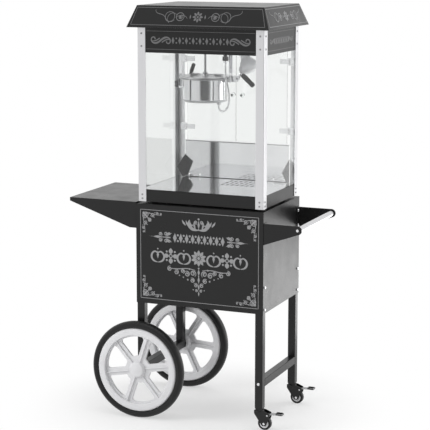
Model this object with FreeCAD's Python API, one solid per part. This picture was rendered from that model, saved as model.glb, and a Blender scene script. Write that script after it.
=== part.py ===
"""Popcorn machine standing on a two-wheeled cart, in millimetres.

X points to the right, Y to the back and Z up; the ground is at Z = 0.
The shapes are drawn about the middle of the cart's cabinet, and saved with
the middle of the whole cart, shelf and handle included, at X = 0.
"""
import FreeCAD, Part
import math
import os

os.makedirs("parts", exist_ok=True)

V = FreeCAD.Vector
X_AXIS = V(1, 0, 0)
Y_AXIS = V(0, 1, 0)
Z_AXIS = V(0, 0, 1)

# Fits and clearances
slide_fit = 0.2          # a fixed piece set in or on another, each side
run_fit = 0.3            # a piece that turns on a pin, on radius
hole_fit = 0.3           # a bolt in its hole, on radius
side_play = 0.5          # end float of a turning piece
door_gap = 3.0           # between the two doors, and above the flap
lift_gap = 0.5           # stirrer rod under its coupling
cut_over = 1.0           # how far a drill starts before the face it enters

# Cart cabinet, of folded sheet
cab_width = 510.0
cab_depth = 388.0
cab_floor = 440.0
cab_height = 379.0
sheet = 1.5
back_return = 20.0
top_hem = 30.0

# Cart legs and cross tubes, of square tube
leg = 30.0
leg_wall = 2.0
leg_reach = 140.0        # how far a leg runs up inside the cabinet
leg_bolt_drop = 42.0     # upper leg bolt below the top of the leg
brace_height = 160.0
caster_height = 82.0

# Big wheels
wheel_radius = 186.6
tyre_depth = 26.0
tyre_width = 40.0
tyre_shoulder = 6.5
rim_depth = 27.0
rim_width = 34.0
web_width = 10.0
spoke_count = 6
spoke_width = 30.0
front_spoke_angle = 11.0
rear_spoke_angle = -4.0
ridge_height = 7.0
ridge_width = 18.0
hub_radius = 30.0
hub_web = 52.0
hub_cap = 2.0            # past the end of the axle, and proud of the tyre
window_corner = 10.0
axle_diameter = 12.0
axle_wheel_gap = 6.0

# Casters
caster_wheel_radius = 25.3
caster_wheel_width = 20.0
caster_shoulder = 3.3
caster_trail = 21.0
stem_nut_radius = 10.0
stem_nut_height = 6.0
stem_plug = 24.0
race_radius = 17.5
fork_sheet = 2.5
fork_gap = 1.5
crown_height = 9.0
king_pin = 9.0
king_head = 16.0
king_head_thick = 3.0
caster_axle = 8.0
pedal_pin = 4.0
pedal_pin_reach = 34.0
pedal_pin_height = 58.0
pedal_reach = 91.5
pedal_rise = 8.0
pedal_thick = 3.0
pedal_tip = 26.0
pedal_tip_thick = 7.0

# Side shelf, left
shelf_reach = 279.0
shelf_depth = 386.0
shelf_rise = 5.0
shelf_lip = 13.5
gusset_height = 99.0
gusset_foot = 27.0

# Push handle, right
handle_reach = 131.0
handle_tip_radius = 16.0
handle_root_top = 41.0
handle_root_height = 79.0
arm_sheet = 2.5
arm_flange = 34.0
bar_diameter = 21.5
bar_wall = 1.5

# Machine case
mach_width = 500.0
mach_depth = 363.0
foot_height = 7.0
foot_radius = 12.0
foot_inset = 45.0
skirt_height = 46.0
glass_height = 510.0
header_height = 93.0
case_sheet = 1.2
post_flange = 32.0
post_wall = 2.0
glass_thick = 4.0
ceiling_rise = 3.0
ceiling_sheet = 2.0
deck_sheet = 1.5
deck_hem = 12.0

# Roof
roof_width = 559.0
roof_depth = 429.0
roof_height = 80.0
roof_inset = 30.0
roof_rim = 1.5
roof_sheet = 1.5

# Kernel drawer under the deck
drawer_width = 300.0
drawer_length = 260.0
drawer_height = 30.0
drawer_sheet = 1.2
drawer_front_lap = 8.0
pull_width = 90.0
pull_depth = 14.0
slot_width = 6.0
slot_length = 34.0
slot_rows = 3
slot_columns = 8
slot_pitch_x = 20.0
slot_pitch_y = 44.0
slot_x = 70.0
slot_y = 85.0

# Rear doors and serving flap
door_axis_inset = 7.0    # hinge axis inside the post flange edge
hinge_pin = 5.0
hinge_barrel = 10.0
hinge_length = 28.0
hinge_knuckle = 18.0
hinge_from_top = 44.0
hinge_from_foot = 50.0
clamp_reach = 30.0
clamp_sheet = 1.5
door_knob_radius = 9.0
door_knob_length = 18.0
door_knob_edge = 1.0
flap_height = 145.0
flap_sheet = 1.5
flap_lip = 12.0
flap_pin = 4.0
flap_knuckle = 40.0
flap_hinge_x = 175.0
cheek_reach = 78.0
cheek_top = 88.0
cheek_tip = 49.0
cheek_foot = 27.0

# Kettle
kettle_x = -55.0
kettle_radius = 83.5
kettle_height = 86.0
kettle_brim = 99.0
brim_height = 7.0
kettle_wall = 1.5
kettle_drop = 100.0      # brim below the ceiling
heater_height = 8.0
lid_radius = 97.0
lid_sheet = 2.0
lid_hinge_y = 17.0
lid_boss_radius = 13.0
lid_boss_height = 7.0
lid_pin = 3.0
lid_lug = 3.0
lid_knuckle = 26.0
lid_knuckle_x = 48.0
trunnion_drop = 5.0
trunnion = 10.0
trunnion_block = 28.0
trunnion_block_height = 18.0
lock_block_height = 40.0
hanger_width = 30.0
hanger_sheet = 3.0
hanger_gap = 2.0
hanger_foot = 20.0
hanger_tail = 14.0
stirrer_diameter = 9.0
blade_length = 66.0
blade_height = 14.0
blade_thick = 3.0
blade_gap = 1.5
coupling_radius = 15.0
coupling_height = 14.0
coupling_shaft = 10.0
grip_diameter = 15.0
lid_grip_x = -73.0
lid_grip_y = 27.0
lid_grip_length = 46.0
lid_grip_neck = 5.0
lid_grip_shoulder = 7.5
lid_grip_lean = 20.0
tilt_hub_length = 22.0
tilt_hub_size = 23.0
tilt_rod = 8.0
tilt_rise = 23.0
tilt_out = 6.0
tilt_spindle = 6.0
tilt_grip_length = 62.0
tilt_grip_angle = 42.0
tilt_grip_start = 10.0
tilt_grip_diameter = 19.0
tilt_grip_round = 2.0
tilt_grip_taper = 12.0
knob_radius = 15.0
knob_lobe = 4.5
knob_thick = 13.0
knob_drop = 27.0
knob_stud = 6.0
knob_lobes = 5

# Lamp, conduit and electrics
lamp_x = 68.0
lamp_y = 62.0
lamp_tilt = 24.0
socket_radius = 19.0
socket_length = 18.0
bulb_radius = 40.0
bulb_neck_radius = 16.0
bulb_neck = 12.0
bulb_cone = 38.0
bulb_band = 6.0
bulb_dome = 20.0
conduit_diameter = 7.5
conduit_drop = 32.0      # straight out of the ceiling gland
conduit_rise = 16.0      # straight up into the kettle
gland_x = 43.0
gland_y = -40.0
gland_stub = 20.0
gland_nut_radius = 12.0
gland_nut_height = 16.0
gland_ferrule_radius = 7.0
gland_ferrule_height = 12.0
tail_gland_x = 67.0      # from the kettle's middle
tail_gland_y = -30.0
tail_gland_radius = 8.0
tail_gland_height = 8.0
motor_length = 84.0
motor_width = 64.0
motor_height = 40.0
motor_can_radius = 24.0
motor_can_height = 34.0
motor_lift = 14.0
switch_count = 3
switch_pitch = 46.0
switch_width = 14.0
switch_height = 26.0
switch_depth = 16.0
switch_throw = 14.0
switch_rim = 3.0
switch_dish = 1.0
inlet_width = 30.0
inlet_height = 22.0
inlet_depth = 22.0
inlet_inset = 28.0       # from the post flange

# Fasteners
bolt_diameter = 6.0
bolt_head = 11.0
bolt_head_thick = 4.0
screw_diameter = 3.5
screw_head = 7.0
screw_head_thick = 2.0
screw_length = 8.0
head_rounding = 0.6      # share of a head that is domed

# Places worked out from the sizes above
half_w = cab_width / 2
half_d = cab_depth / 2
cab_top = cab_floor + cab_height
leg_x = half_w - sheet - leg / 2
leg_y = half_d - sheet - leg / 2
leg_top = cab_floor + leg_reach
axle_z = wheel_radius
tyre_inner = wheel_radius - tyre_depth
rim_outer = tyre_inner - slide_fit
rim_inner = rim_outer - rim_depth
wheel_in = leg_y + leg / 2 + axle_wheel_gap
wheel_y = wheel_in + tyre_width / 2
shelf_top = cab_top + shelf_rise
handle_tip_x = half_w + handle_reach
handle_tip_z = cab_top - handle_root_top - handle_tip_radius
mach_w = mach_width / 2
mach_d = mach_depth / 2
case_w = mach_w - post_wall
case_d = mach_d - post_wall
mach_floor = cab_top + foot_height
deck_z = mach_floor + skirt_height
header_z = deck_z + glass_height
roof_z = header_z + header_height
ceiling_z = header_z + ceiling_rise
ceiling_top = ceiling_z + ceiling_sheet
kettle_top = ceiling_z - kettle_drop
glass_y = case_d - case_sheet - slide_fit
glass_x = case_w - case_sheet - slide_fit
tilt_z = kettle_top - trunnion_drop
kettle_base = kettle_top - brim_height - kettle_height
left_hanger_x = kettle_x - kettle_brim - hanger_gap
right_hanger_x = kettle_x + kettle_brim + hanger_gap
door_axis_x = mach_w - post_flange - door_axis_inset
door_axis_y = case_d - glass_thick / 2
shelf_end = half_w + shelf_reach
handle_end = handle_tip_x + handle_tip_radius
origin_x = (shelf_end - handle_end) / 2


def block(x0, x1, y0, y1, z0, z1):
    """A box between three pairs of planes."""
    return Part.makeBox(x1 - x0, y1 - y0, z1 - z0, V(x0, y0, z0))


def rod(radius, start, end):
    """A round bar between two points."""
    line = V(*end) - V(*start)
    return Part.makeCylinder(radius, line.Length, V(*start), line)


def polygon(points, direction):
    """A flat outline through points, pushed along a direction."""
    corners = [V(*point) for point in points]
    wire = Part.makePolygon(corners + corners[:1])
    return Part.Face(wire).extrude(V(*direction))


def slab_xz(points, y0, y1):
    return polygon([(x, y0, z) for x, z in points], (0, y1 - y0, 0))


def slab_yz(points, x0, x1):
    return polygon([(x0, y, z) for y, z in points], (x1 - x0, 0, 0))


def turned(profile, centre, axis):
    """A solid turned from (radius, along) points about an axis through a centre."""
    wire = Part.makePolygon([V(r, 0, h) for r, h in profile + profile[:1]])
    solid = Part.Face(wire).revolve(V(0, 0, 0), Z_AXIS, 360)
    solid.Placement = FreeCAD.Placement(V(*centre), FreeCAD.Rotation(Z_AXIS, axis))
    return solid


def fused(*shapes):
    """One solid from overlapping or touching pieces."""
    whole = shapes[0].multiFuse(list(shapes[1:]))
    return whole.removeSplitter()


def mirrored(shape, normal):
    return shape.mirror(V(0, 0, 0), normal)


def moved(shape, x, y, z):
    copy = shape.copy()
    copy.translate(V(x, y, z))
    return copy


def turned_about(shape, point, axis, degrees):
    copy = shape.copy()
    copy.rotate(V(*point), axis, degrees)
    return copy


def square_tube(size, wall, x, y, z0, z1):
    """An upright square tube about (x, y)."""
    outer = size / 2
    inner = outer - wall
    bar = block(x - outer, x + outer, y - outer, y + outer, z0, z1)
    return bar.cut(block(x - inner, x + inner, y - inner, y + inner, z0, z1))


def button_bolt(seat, into, grip, shank, head, head_thick):
    """A round-headed bolt: head on the seat, shank running into the material."""
    along = V(*into)
    start = V(*seat)
    body = Part.makeCylinder(shank / 2, grip, start, along)
    cap = Part.makeCylinder(head / 2, head_thick, start, along * -1)
    rings = [edge for edge in cap.Edges if edge.isClosed()]
    rim = max(rings, key=lambda ring: (ring.CenterOfMass - start).Length)
    dome = cap.makeFillet(head_thick * head_rounding, [rim])
    return dome.fuse(body).removeSplitter()


def drilled(shape, places, shank):
    """The shape with a hole wherever a bolt of this shank passes."""
    for seat, into, grip in places:
        along = V(*into)
        start = V(*seat) - along * cut_over
        hole = Part.makeCylinder(shank / 2 + hole_fit, cut_over + grip + 2 * hole_fit, start, along)
        shape = shape.cut(hole)
    return shape


def save(name, *shapes):
    """Write one named piece, or a set of like pieces, in the cart's own frame."""
    solids = []
    for shape in shapes:
        solids.extend(shape.Solids)
    whole = solids[0] if len(solids) == 1 else Part.makeCompound(solids)
    whole = moved(whole, origin_x, 0, 0)
    whole.exportStep("parts/" + name + ".step")
    print(name, len(solids), whole.isValid(), round(sum(s.Volume for s in solids)))


# Bolts of the cart: where each head sits, the way it points, and its grip
leg_bolts = []
for side in (-1, 1):
    for end in (-1, 1):
        for height in (cab_floor + leg / 2, leg_top - leg_bolt_drop):
            seat = (side * half_w, end * leg_y, height)
            leg_bolts.append((seat, (-side, 0, 0), sheet + leg_wall + leg / 4))
brace_bolts = []
for end in (-1, 1):
    seat = (leg_x, end * (leg_y + leg / 2), brace_height + leg / 2)
    brace_bolts.append((seat, (0, -end, 0), leg + leg / 2))
handle_root_z = cab_top - handle_root_top - handle_root_height
handle_bolts = []
for end in (-1, 1):
    for height in (handle_root_z + bolt_head, handle_root_z + handle_root_height - bolt_head):
        seat = (half_w + arm_sheet, end * (half_d - arm_flange / 2 - arm_sheet), height)
        handle_bolts.append((seat, (-1, 0, 0), arm_sheet + sheet + bolt_diameter))
tip_bolts = []
for end in (-1, 1):
    seat = (handle_tip_x, end * half_d, handle_tip_z)
    tip_bolts.append((seat, (0, -end, 0), arm_sheet + bar_diameter))
shelf_bolts = []
for end in (-1, 1):
    for height in (shelf_top - gusset_height + bolt_head, shelf_top - shelf_lip - bolt_head):
        seat = (-half_w - sheet, end * shelf_depth / 3, height)
        shelf_bolts.append((seat, (1, 0, 0), 2 * sheet + bolt_diameter))
cart_bolt_places = leg_bolts + brace_bolts + handle_bolts + tip_bolts + shelf_bolts


def make_cabinet():
    """Front, sides, top and bottom of the cart; its back is open."""
    front = block(-half_w, half_w, -half_d, -half_d + sheet, cab_floor, cab_top - sheet)
    save("cart_front_panel", front)
    side = block(half_w - sheet, half_w, -half_d + sheet, half_d, cab_floor, cab_top - sheet)
    hem = block(half_w - back_return, half_w, half_d - sheet, half_d, cab_floor, cab_top - sheet)
    right = side.fuse(hem).removeSplitter()
    left = mirrored(right, X_AXIS)
    save("cart_side_panels", *[drilled(panel, cart_bolt_places, bolt_diameter) for panel in (left, right)])
    top = block(-half_w, half_w, -half_d, half_d, cab_top - sheet, cab_top)
    hem_w = half_w - back_return - slide_fit
    top_lip = block(-hem_w, hem_w, half_d - sheet, half_d, cab_top - top_hem, cab_top - sheet)
    top = top.fuse(top_lip).removeSplitter()
    shelf = block(-half_w + sheet, half_w - sheet, -half_d + sheet, half_d - sheet,
                  cab_floor, cab_floor + sheet)
    shelf_w = half_w - back_return - slide_fit
    lip = block(-shelf_w, shelf_w, half_d - 2 * sheet, half_d - sheet, cab_floor, cab_floor + back_return)
    shelf = shelf.fuse(lip)
    notch = leg / 2 + slide_fit
    for x in (-leg_x, leg_x):
        for y in (-leg_y, leg_y):
            shelf = shelf.cut(block(x - notch, x + notch, y - notch, y + notch,
                                    cab_floor - sheet, leg_top))
    save("cart_decks", top, shelf.removeSplitter())


def make_legs():
    """Four legs, the brace between the right pair and the tube that carries the axle."""
    legs = []
    for y in (-leg_y, leg_y):
        legs.append(square_tube(leg, leg_wall, -leg_x, y, axle_z + leg / 2, leg_top))
        legs.append(square_tube(leg, leg_wall, leg_x, y, caster_height, leg_top))
    save("cart_legs", *[drilled(tube, cart_bolt_places, bolt_diameter) for tube in legs])
    inner = leg / 2 - leg_wall
    brace_end = leg_y - leg / 2
    middle = brace_height + leg / 2
    brace = block(leg_x - leg / 2, leg_x + leg / 2, -brace_end, brace_end, brace_height, brace_height + leg)
    brace = brace.cut(block(leg_x - inner, leg_x + inner, -brace_end + leg_wall, brace_end - leg_wall,
                            middle - inner, middle + inner))
    end = leg_y + leg / 2
    beam = block(-leg_x - leg / 2, -leg_x + leg / 2, -end, end, axle_z - leg / 2, axle_z + leg / 2)
    beam = beam.cut(block(-leg_x - inner, -leg_x + inner, -end + leg / 2, end - leg / 2,
                          axle_z - inner, axle_z + inner))
    bore = rod(axle_diameter / 2 + slide_fit, (-leg_x, -end, axle_z), (-leg_x, end, axle_z))
    save("cross_tubes", drilled(brace, brace_bolts, bolt_diameter), beam.cut(bore))
    reach = wheel_in + tyre_width - side_play - hub_cap
    save("wheel_axle", rod(axle_diameter / 2, (-leg_x, -reach, axle_z), (-leg_x, reach, axle_z)))


def rear_wheel(spoke_angle):
    """The rear wheel's rim, with its first spoke at an angle, and its tyre."""
    half = tyre_width / 2
    centre = (-leg_x, wheel_y, axle_z)
    edge = tyre_shoulder
    tread = [(tyre_inner, -half + edge), (tyre_inner + edge, -half), (wheel_radius - 2 * edge, -half),
             (wheel_radius - edge / 2, -half + edge), (wheel_radius, -half / 2), (wheel_radius, half / 2),
             (wheel_radius - edge / 2, half - edge), (wheel_radius - 2 * edge, half),
             (tyre_inner + edge, half), (tyre_inner, half - edge)]
    tyre = turned(tread, centre, Y_AXIS)
    rim_half = rim_width / 2
    web_half = web_width / 2
    ring = turned([(rim_inner, -rim_half), (rim_outer, -half + edge), (rim_outer, half - edge),
                   (rim_inner, rim_half)], centre, Y_AXIS)
    web = turned([(hub_radius, -web_half), (rim_inner, -web_half), (rim_inner, web_half),
                  (hub_radius, web_half)], centre, Y_AXIS)
    window_out = rim_inner - web_width
    gap = turned([(hub_web, -half), (window_out, -half), (window_out, half), (hub_web, half)], centre, Y_AXIS)
    ribs = []
    for spoke in range(spoke_count):
        angle = -spoke_angle - spoke * 360.0 / spoke_count
        bar = block(0, wheel_radius, -half, half, -spoke_width / 2, spoke_width / 2)
        bar = turned_about(moved(bar, *centre), centre, Y_AXIS, angle)
        gap = gap.cut(bar)
        crest = web_half + ridge_height
        foot = ridge_width / 2
        rib = slab_yz([(-web_half, -foot), (web_half, -foot), (crest, 0), (web_half, foot), (-web_half, foot),
                       (-crest, 0)], hub_radius - foot, rim_inner + foot / 2)
        ribs.append(turned_about(moved(rib, *centre), centre, Y_AXIS, angle))
    for window in gap.Solids:
        corners = [e for e in window.Edges if e.BoundBox.YLength > tyre_width - slide_fit]
        web = web.cut(window.makeFillet(window_corner, corners))
    hub_in = leg_y + leg / 2 + side_play - wheel_y
    bore_end = wheel_in + tyre_width - hub_cap - wheel_y
    hub = turned([(0, hub_in), (hub_radius, hub_in), (hub_radius, half - edge),
                  (hub_radius - edge, half + hub_cap), (0, half + hub_cap)], centre, Y_AXIS)
    rim = fused(ring, web, hub, *ribs)
    bore = rod(axle_diameter / 2 + run_fit, (-leg_x, wheel_y + hub_in, axle_z),
               (-leg_x, wheel_y + bore_end, axle_z))
    return rim.cut(bore), tyre


def make_wheels():
    """Two spoked wheels that turn on the ends of the axle."""
    rim, tyre = rear_wheel(rear_spoke_angle)
    save("rear_wheel_rim", rim)
    save("rear_wheel_tyre", tyre)
    rim, tyre = rear_wheel(front_spoke_angle)
    save("front_wheel_rim", mirrored(rim, Y_AXIS))
    save("front_wheel_tyre", mirrored(tyre, Y_AXIS))


def caster_pieces():
    """One caster about its swivel axis, trailing towards +X."""
    nut_z = caster_height - stem_nut_height
    crown_top = nut_z - side_play
    crown_z = crown_top - crown_height
    head_top = crown_z - side_play
    head_z = head_top - king_head_thick
    plug = leg / 2 - leg_wall - slide_fit
    stem = fused(block(-plug, plug, -plug, plug, caster_height, caster_height + stem_plug),
                 rod(stem_nut_radius, (0, 0, nut_z), (0, 0, caster_height)),
                 rod(king_pin / 2, (0, 0, head_z), (0, 0, nut_z)),
                 rod(king_head / 2, (0, 0, head_z), (0, 0, head_top)))
    inside = caster_wheel_width / 2 + fork_gap
    outside = inside + fork_sheet
    pin_x = pedal_pin_reach
    pin_z = pedal_pin_height
    axle_x = caster_trail
    axle_h = caster_wheel_radius
    skirt = [(-race_radius, crown_top), (race_radius, crown_top), (pin_x + caster_axle, pin_z + caster_axle),
             (pin_x + caster_axle, pin_z - caster_axle), (axle_x + caster_axle, axle_h - caster_axle),
             (axle_x - caster_axle, axle_h - caster_axle), (-race_radius, crown_z - crown_height / 2)]
    fork = rod(race_radius, (0, 0, crown_z), (0, 0, crown_top))
    cheeks = [slab_xz(skirt, inside, outside), slab_xz(skirt, -outside, -inside)]
    rivet = outside + fork_sheet
    pins = [rod(caster_axle / 2, (axle_x, -rivet, axle_h), (axle_x, rivet, axle_h)),
            rod(pedal_pin / 2, (pin_x, -outside, pin_z), (pin_x, outside, pin_z))]
    fork = fused(fork, *cheeks, *pins)
    fork = fork.cut(rod(king_pin / 2 + run_fit, (0, 0, crown_z), (0, 0, crown_top)))
    half = caster_wheel_width / 2
    soft = caster_shoulder
    tread = [(caster_axle / 2 + run_fit, -half), (caster_wheel_radius - soft, -half),
             (caster_wheel_radius, -half + soft), (caster_wheel_radius, half - soft),
             (caster_wheel_radius - soft, half), (caster_axle / 2 + run_fit, half)]
    wheel = turned(tread, (axle_x, 0, axle_h), Y_AXIS)
    barrel = pedal_pin / 2 + run_fit + fork_sheet
    wide = inside - side_play
    reach = pedal_reach - pedal_tip
    arm = [(pin_x, pin_z + barrel - pedal_thick), (pin_x, pin_z + barrel), (reach, pin_z + pedal_rise),
           (pedal_reach, pin_z + pedal_rise), (pedal_reach, pin_z + pedal_rise - pedal_thick),
           (reach, pin_z + pedal_rise - pedal_thick)]
    tip_z = pin_z + pedal_rise - pedal_tip_thick / 2
    shoe_gap = math.hypot(pin_x - axle_x, pin_z - axle_h) - caster_wheel_radius - run_fit
    shoe_radius = shoe_gap / 3
    pedal = fused(rod(barrel, (pin_x, -wide, pin_z), (pin_x, wide, pin_z)), slab_xz(arm, -wide, wide),
                  block(reach, pedal_reach, -wide, wide, tip_z, tip_z + pedal_tip_thick),
                  rod(shoe_radius, (pin_x, -wide, pin_z - shoe_gap + shoe_radius),
                      (pin_x, wide, pin_z - shoe_gap + shoe_radius)))
    pedal = pedal.cut(rod(pedal_pin / 2 + run_fit, (pin_x, -wide, pin_z), (pin_x, wide, pin_z)))
    return stem, fork, wheel, pedal


def make_casters():
    """A braked swivel caster under each right-hand leg."""
    stem, fork, wheel, pedal = caster_pieces()
    save("caster_stems", moved(stem, leg_x, -leg_y, 0), moved(stem, leg_x, leg_y, 0))
    for name, y in (("front", -leg_y), ("rear", leg_y)):
        save(name + "_caster_fork", moved(fork, leg_x, y, 0))
        save(name + "_caster_wheel", moved(wheel, leg_x, y, 0))
        save(name + "_brake_pedal", moved(pedal, leg_x, y, 0))


def make_side_shelf():
    """The folded shelf on the left, with a gusset at each end."""
    root = -half_w
    end = -shelf_end
    half = shelf_depth / 2
    low = shelf_top - gusset_height
    outline = [(root, shelf_top), (end, shelf_top), (end, shelf_top - shelf_lip),
               (root - gusset_foot, low), (root, low)]
    shelf = fused(block(end, root, -half, half, shelf_top - sheet, shelf_top),
                  block(end, end + sheet, -half, half, shelf_top - shelf_lip, shelf_top),
                  block(root - sheet, root, -half, half, low, shelf_top),
                  slab_xz(outline, -half, -half + sheet), slab_xz(outline, half - sheet, half))
    save("side_shelf", drilled(shelf, shelf_bolts, bolt_diameter))


def make_handle():
    """Two arms on the right side and the round bar between their tips."""
    low = V(half_w, 0, handle_root_z)
    tip = V(handle_tip_x, 0, handle_tip_z)
    line = tip - low
    slope = math.atan2(line.z, line.x) - math.asin(handle_tip_radius / line.Length)
    run = math.sqrt(line.Length ** 2 - handle_tip_radius ** 2)
    touch = (low.x + run * math.cos(slope), low.z + run * math.sin(slope))
    top = handle_root_z + handle_root_height
    outline = [(low.x, low.z), touch, (tip.x, tip.z), (tip.x, top), (low.x, top)]
    inside = half_d - arm_sheet
    arm = fused(slab_xz(outline, inside, half_d),
                rod(handle_tip_radius, (tip.x, inside, tip.z), (tip.x, half_d, tip.z)),
                block(half_w, half_w + arm_sheet, half_d - arm_flange, half_d, handle_root_z, top))
    places = handle_bolts + tip_bolts
    rear = drilled(arm, places, bolt_diameter)
    save("handle_arms", rear, mirrored(rear, Y_AXIS))
    bar = rod(bar_diameter / 2, (tip.x, -inside, tip.z), (tip.x, inside, tip.z))
    plug = inside - bar_diameter - arm_sheet
    hollow = rod(bar_diameter / 2 - bar_wall, (tip.x, -plug, tip.z), (tip.x, plug, tip.z))
    save("handle_bar", drilled(bar.cut(hollow), tip_bolts, bolt_diameter))
    bolts = []
    for seat, into, grip in cart_bolt_places:
        bolts.append(button_bolt(seat, into, grip, bolt_diameter, bolt_head, bolt_head_thick))
    save("cart_bolts", *bolts)


# Screws of the machine: two at each end of every post flange
screw_heights = (mach_floor + skirt_height / 4, mach_floor + skirt_height / 2 + screw_head / 2,
                 header_z + header_height / 4, roof_z - header_height / 4)
screw_places = []
for x in (-1, 1):
    for y in (-1, 1):
        for z in screw_heights:
            face = (x * (mach_w - post_flange / 2), y * mach_d, z)
            screw_places.append((face, (0, -y, 0), screw_length))
            face = (x * mach_w, y * (mach_d - post_flange / 2), z)
            screw_places.append((face, (-x, 0, 0), screw_length))

drawer_half = drawer_width / 2
drawer_z = mach_floor + case_sheet + side_play
drawer_top = drawer_z + drawer_height
switch_z = header_z + header_height / 2
inlet_x = mach_w - post_flange - inlet_inset
inlet_z = mach_floor + 2 * switch_rim + inlet_height / 2


def switch_places():
    """The middle of each rocker switch on the rear of the header."""
    first = -(switch_count - 1) / 2 * switch_pitch
    return [first + i * switch_pitch for i in range(switch_count)]


def four_walls(z0, z1):
    """A rectangular band of case sheet, just inside the posts."""
    inner_w = case_w - case_sheet
    inner_d = case_d - case_sheet
    outer = block(-case_w, case_w, -case_d, case_d, z0, z1)
    return outer.cut(block(-inner_w, inner_w, -inner_d, inner_d, z0, z1))


def make_base():
    """Tray, feet and deck under the popping chamber."""
    walls = four_walls(mach_floor, deck_z)
    floor = block(-case_w, case_w, -case_d, case_d, mach_floor, mach_floor + case_sheet)
    rails = []
    for side in (-1, 1):
        near = side * (drawer_half + side_play)
        far = side * (drawer_half + side_play + drawer_sheet)
        rails.append(block(min(near, far), max(near, far), case_d - drawer_length, case_d,
                           mach_floor, drawer_z + drawer_height / 2))
    mouth = block(-drawer_half - side_play, drawer_half + side_play, case_d - 2 * case_sheet, case_d,
                  mach_floor + case_sheet, drawer_top + side_play)
    socket = block(inlet_x - inlet_width / 2 - slide_fit, inlet_x + inlet_width / 2 + slide_fit,
                   case_d - 2 * case_sheet, case_d,
                   inlet_z - inlet_height / 2 - slide_fit, inlet_z + inlet_height / 2 + slide_fit)
    tray = fused(walls, floor, *rails).cut(mouth).cut(socket)
    save("base_tray", drilled(tray, screw_places, screw_diameter))
    feet = []
    for x in (-1, 1):
        for y in (-1, 1):
            at = (x * (case_w - foot_inset), y * (case_d - foot_inset))
            feet.append(rod(foot_radius, (*at, cab_top), (*at, mach_floor)))
    save("machine_feet", *feet)
    deck_w = case_w - case_sheet - slide_fit
    deck_d = case_d - case_sheet - slide_fit
    under = deck_z - deck_sheet
    deck = block(-deck_w, deck_w, -deck_d, deck_d, under - deck_hem, deck_z)
    deck = deck.cut(block(-deck_w + deck_sheet, deck_w - deck_sheet, -deck_d + deck_sheet,
                          deck_d - deck_sheet, under - deck_hem, under))
    deck = deck.cut(block(-drawer_half, drawer_half, 0, deck_d, under - deck_hem, under))
    ends = slot_length / 2 - slot_width / 2
    for column in range(slot_columns):
        for row in range(slot_rows):
            x = slot_x + (column - (slot_columns - 1) / 2) * slot_pitch_x
            y = slot_y + (row - (slot_rows - 1) / 2) * slot_pitch_y
            slot = fused(block(x - slot_width / 2, x + slot_width / 2, y - ends, y + ends, under, deck_z),
                         rod(slot_width / 2, (x, y - ends, under), (x, y - ends, deck_z)),
                         rod(slot_width / 2, (x, y + ends, under), (x, y + ends, deck_z)))
            deck = deck.cut(slot)
    save("deck_plate", deck)


def power_inlet():
    """The appliance inlet on the rear of the tray."""
    inlet = block(inlet_x - inlet_width / 2, inlet_x + inlet_width / 2, case_d - inlet_depth, case_d,
                  inlet_z - inlet_height / 2, inlet_z + inlet_height / 2)
    lip = block(inlet_x - inlet_width / 2 - switch_rim, inlet_x + inlet_width / 2 + switch_rim, case_d,
                case_d + case_sheet, inlet_z - inlet_height / 2 - switch_rim,
                inlet_z + inlet_height / 2 + switch_rim)
    well = block(inlet_x - inlet_width / 2 + switch_rim, inlet_x + inlet_width / 2 - switch_rim,
                 case_d - inlet_depth + switch_rim, case_d + case_sheet,
                 inlet_z - inlet_height / 2 + switch_rim, inlet_z + inlet_height / 2 - switch_rim)
    return fused(inlet, lip).cut(well)


def make_drawer():
    """The tray that catches unpopped kernels, drawn out at the back."""
    back = case_d - drawer_length + drawer_sheet
    tray = block(-drawer_half, drawer_half, back, case_d, drawer_z, drawer_top)
    tray = tray.cut(block(-drawer_half + drawer_sheet, drawer_half - drawer_sheet, back + drawer_sheet,
                          case_d, drawer_z + drawer_sheet, drawer_top))
    face_y = case_d + run_fit
    face = block(-drawer_half - drawer_front_lap, drawer_half + drawer_front_lap, face_y,
                 face_y + drawer_sheet, drawer_z, drawer_top + drawer_front_lap)
    bridge = block(-drawer_half, drawer_half, case_d, face_y, drawer_z, drawer_top)
    pull_z = (drawer_z + drawer_top) / 2
    pull = block(-pull_width / 2, pull_width / 2, face_y, face_y + drawer_sheet + pull_depth,
                 pull_z, pull_z + drawer_sheet)
    hook = block(-pull_width / 2, pull_width / 2, face_y + pull_depth, face_y + pull_depth + drawer_sheet,
                 pull_z - pull_depth / 2, pull_z + drawer_sheet)
    save("kernel_drawer", fused(tray, bridge, face, pull, hook))


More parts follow.
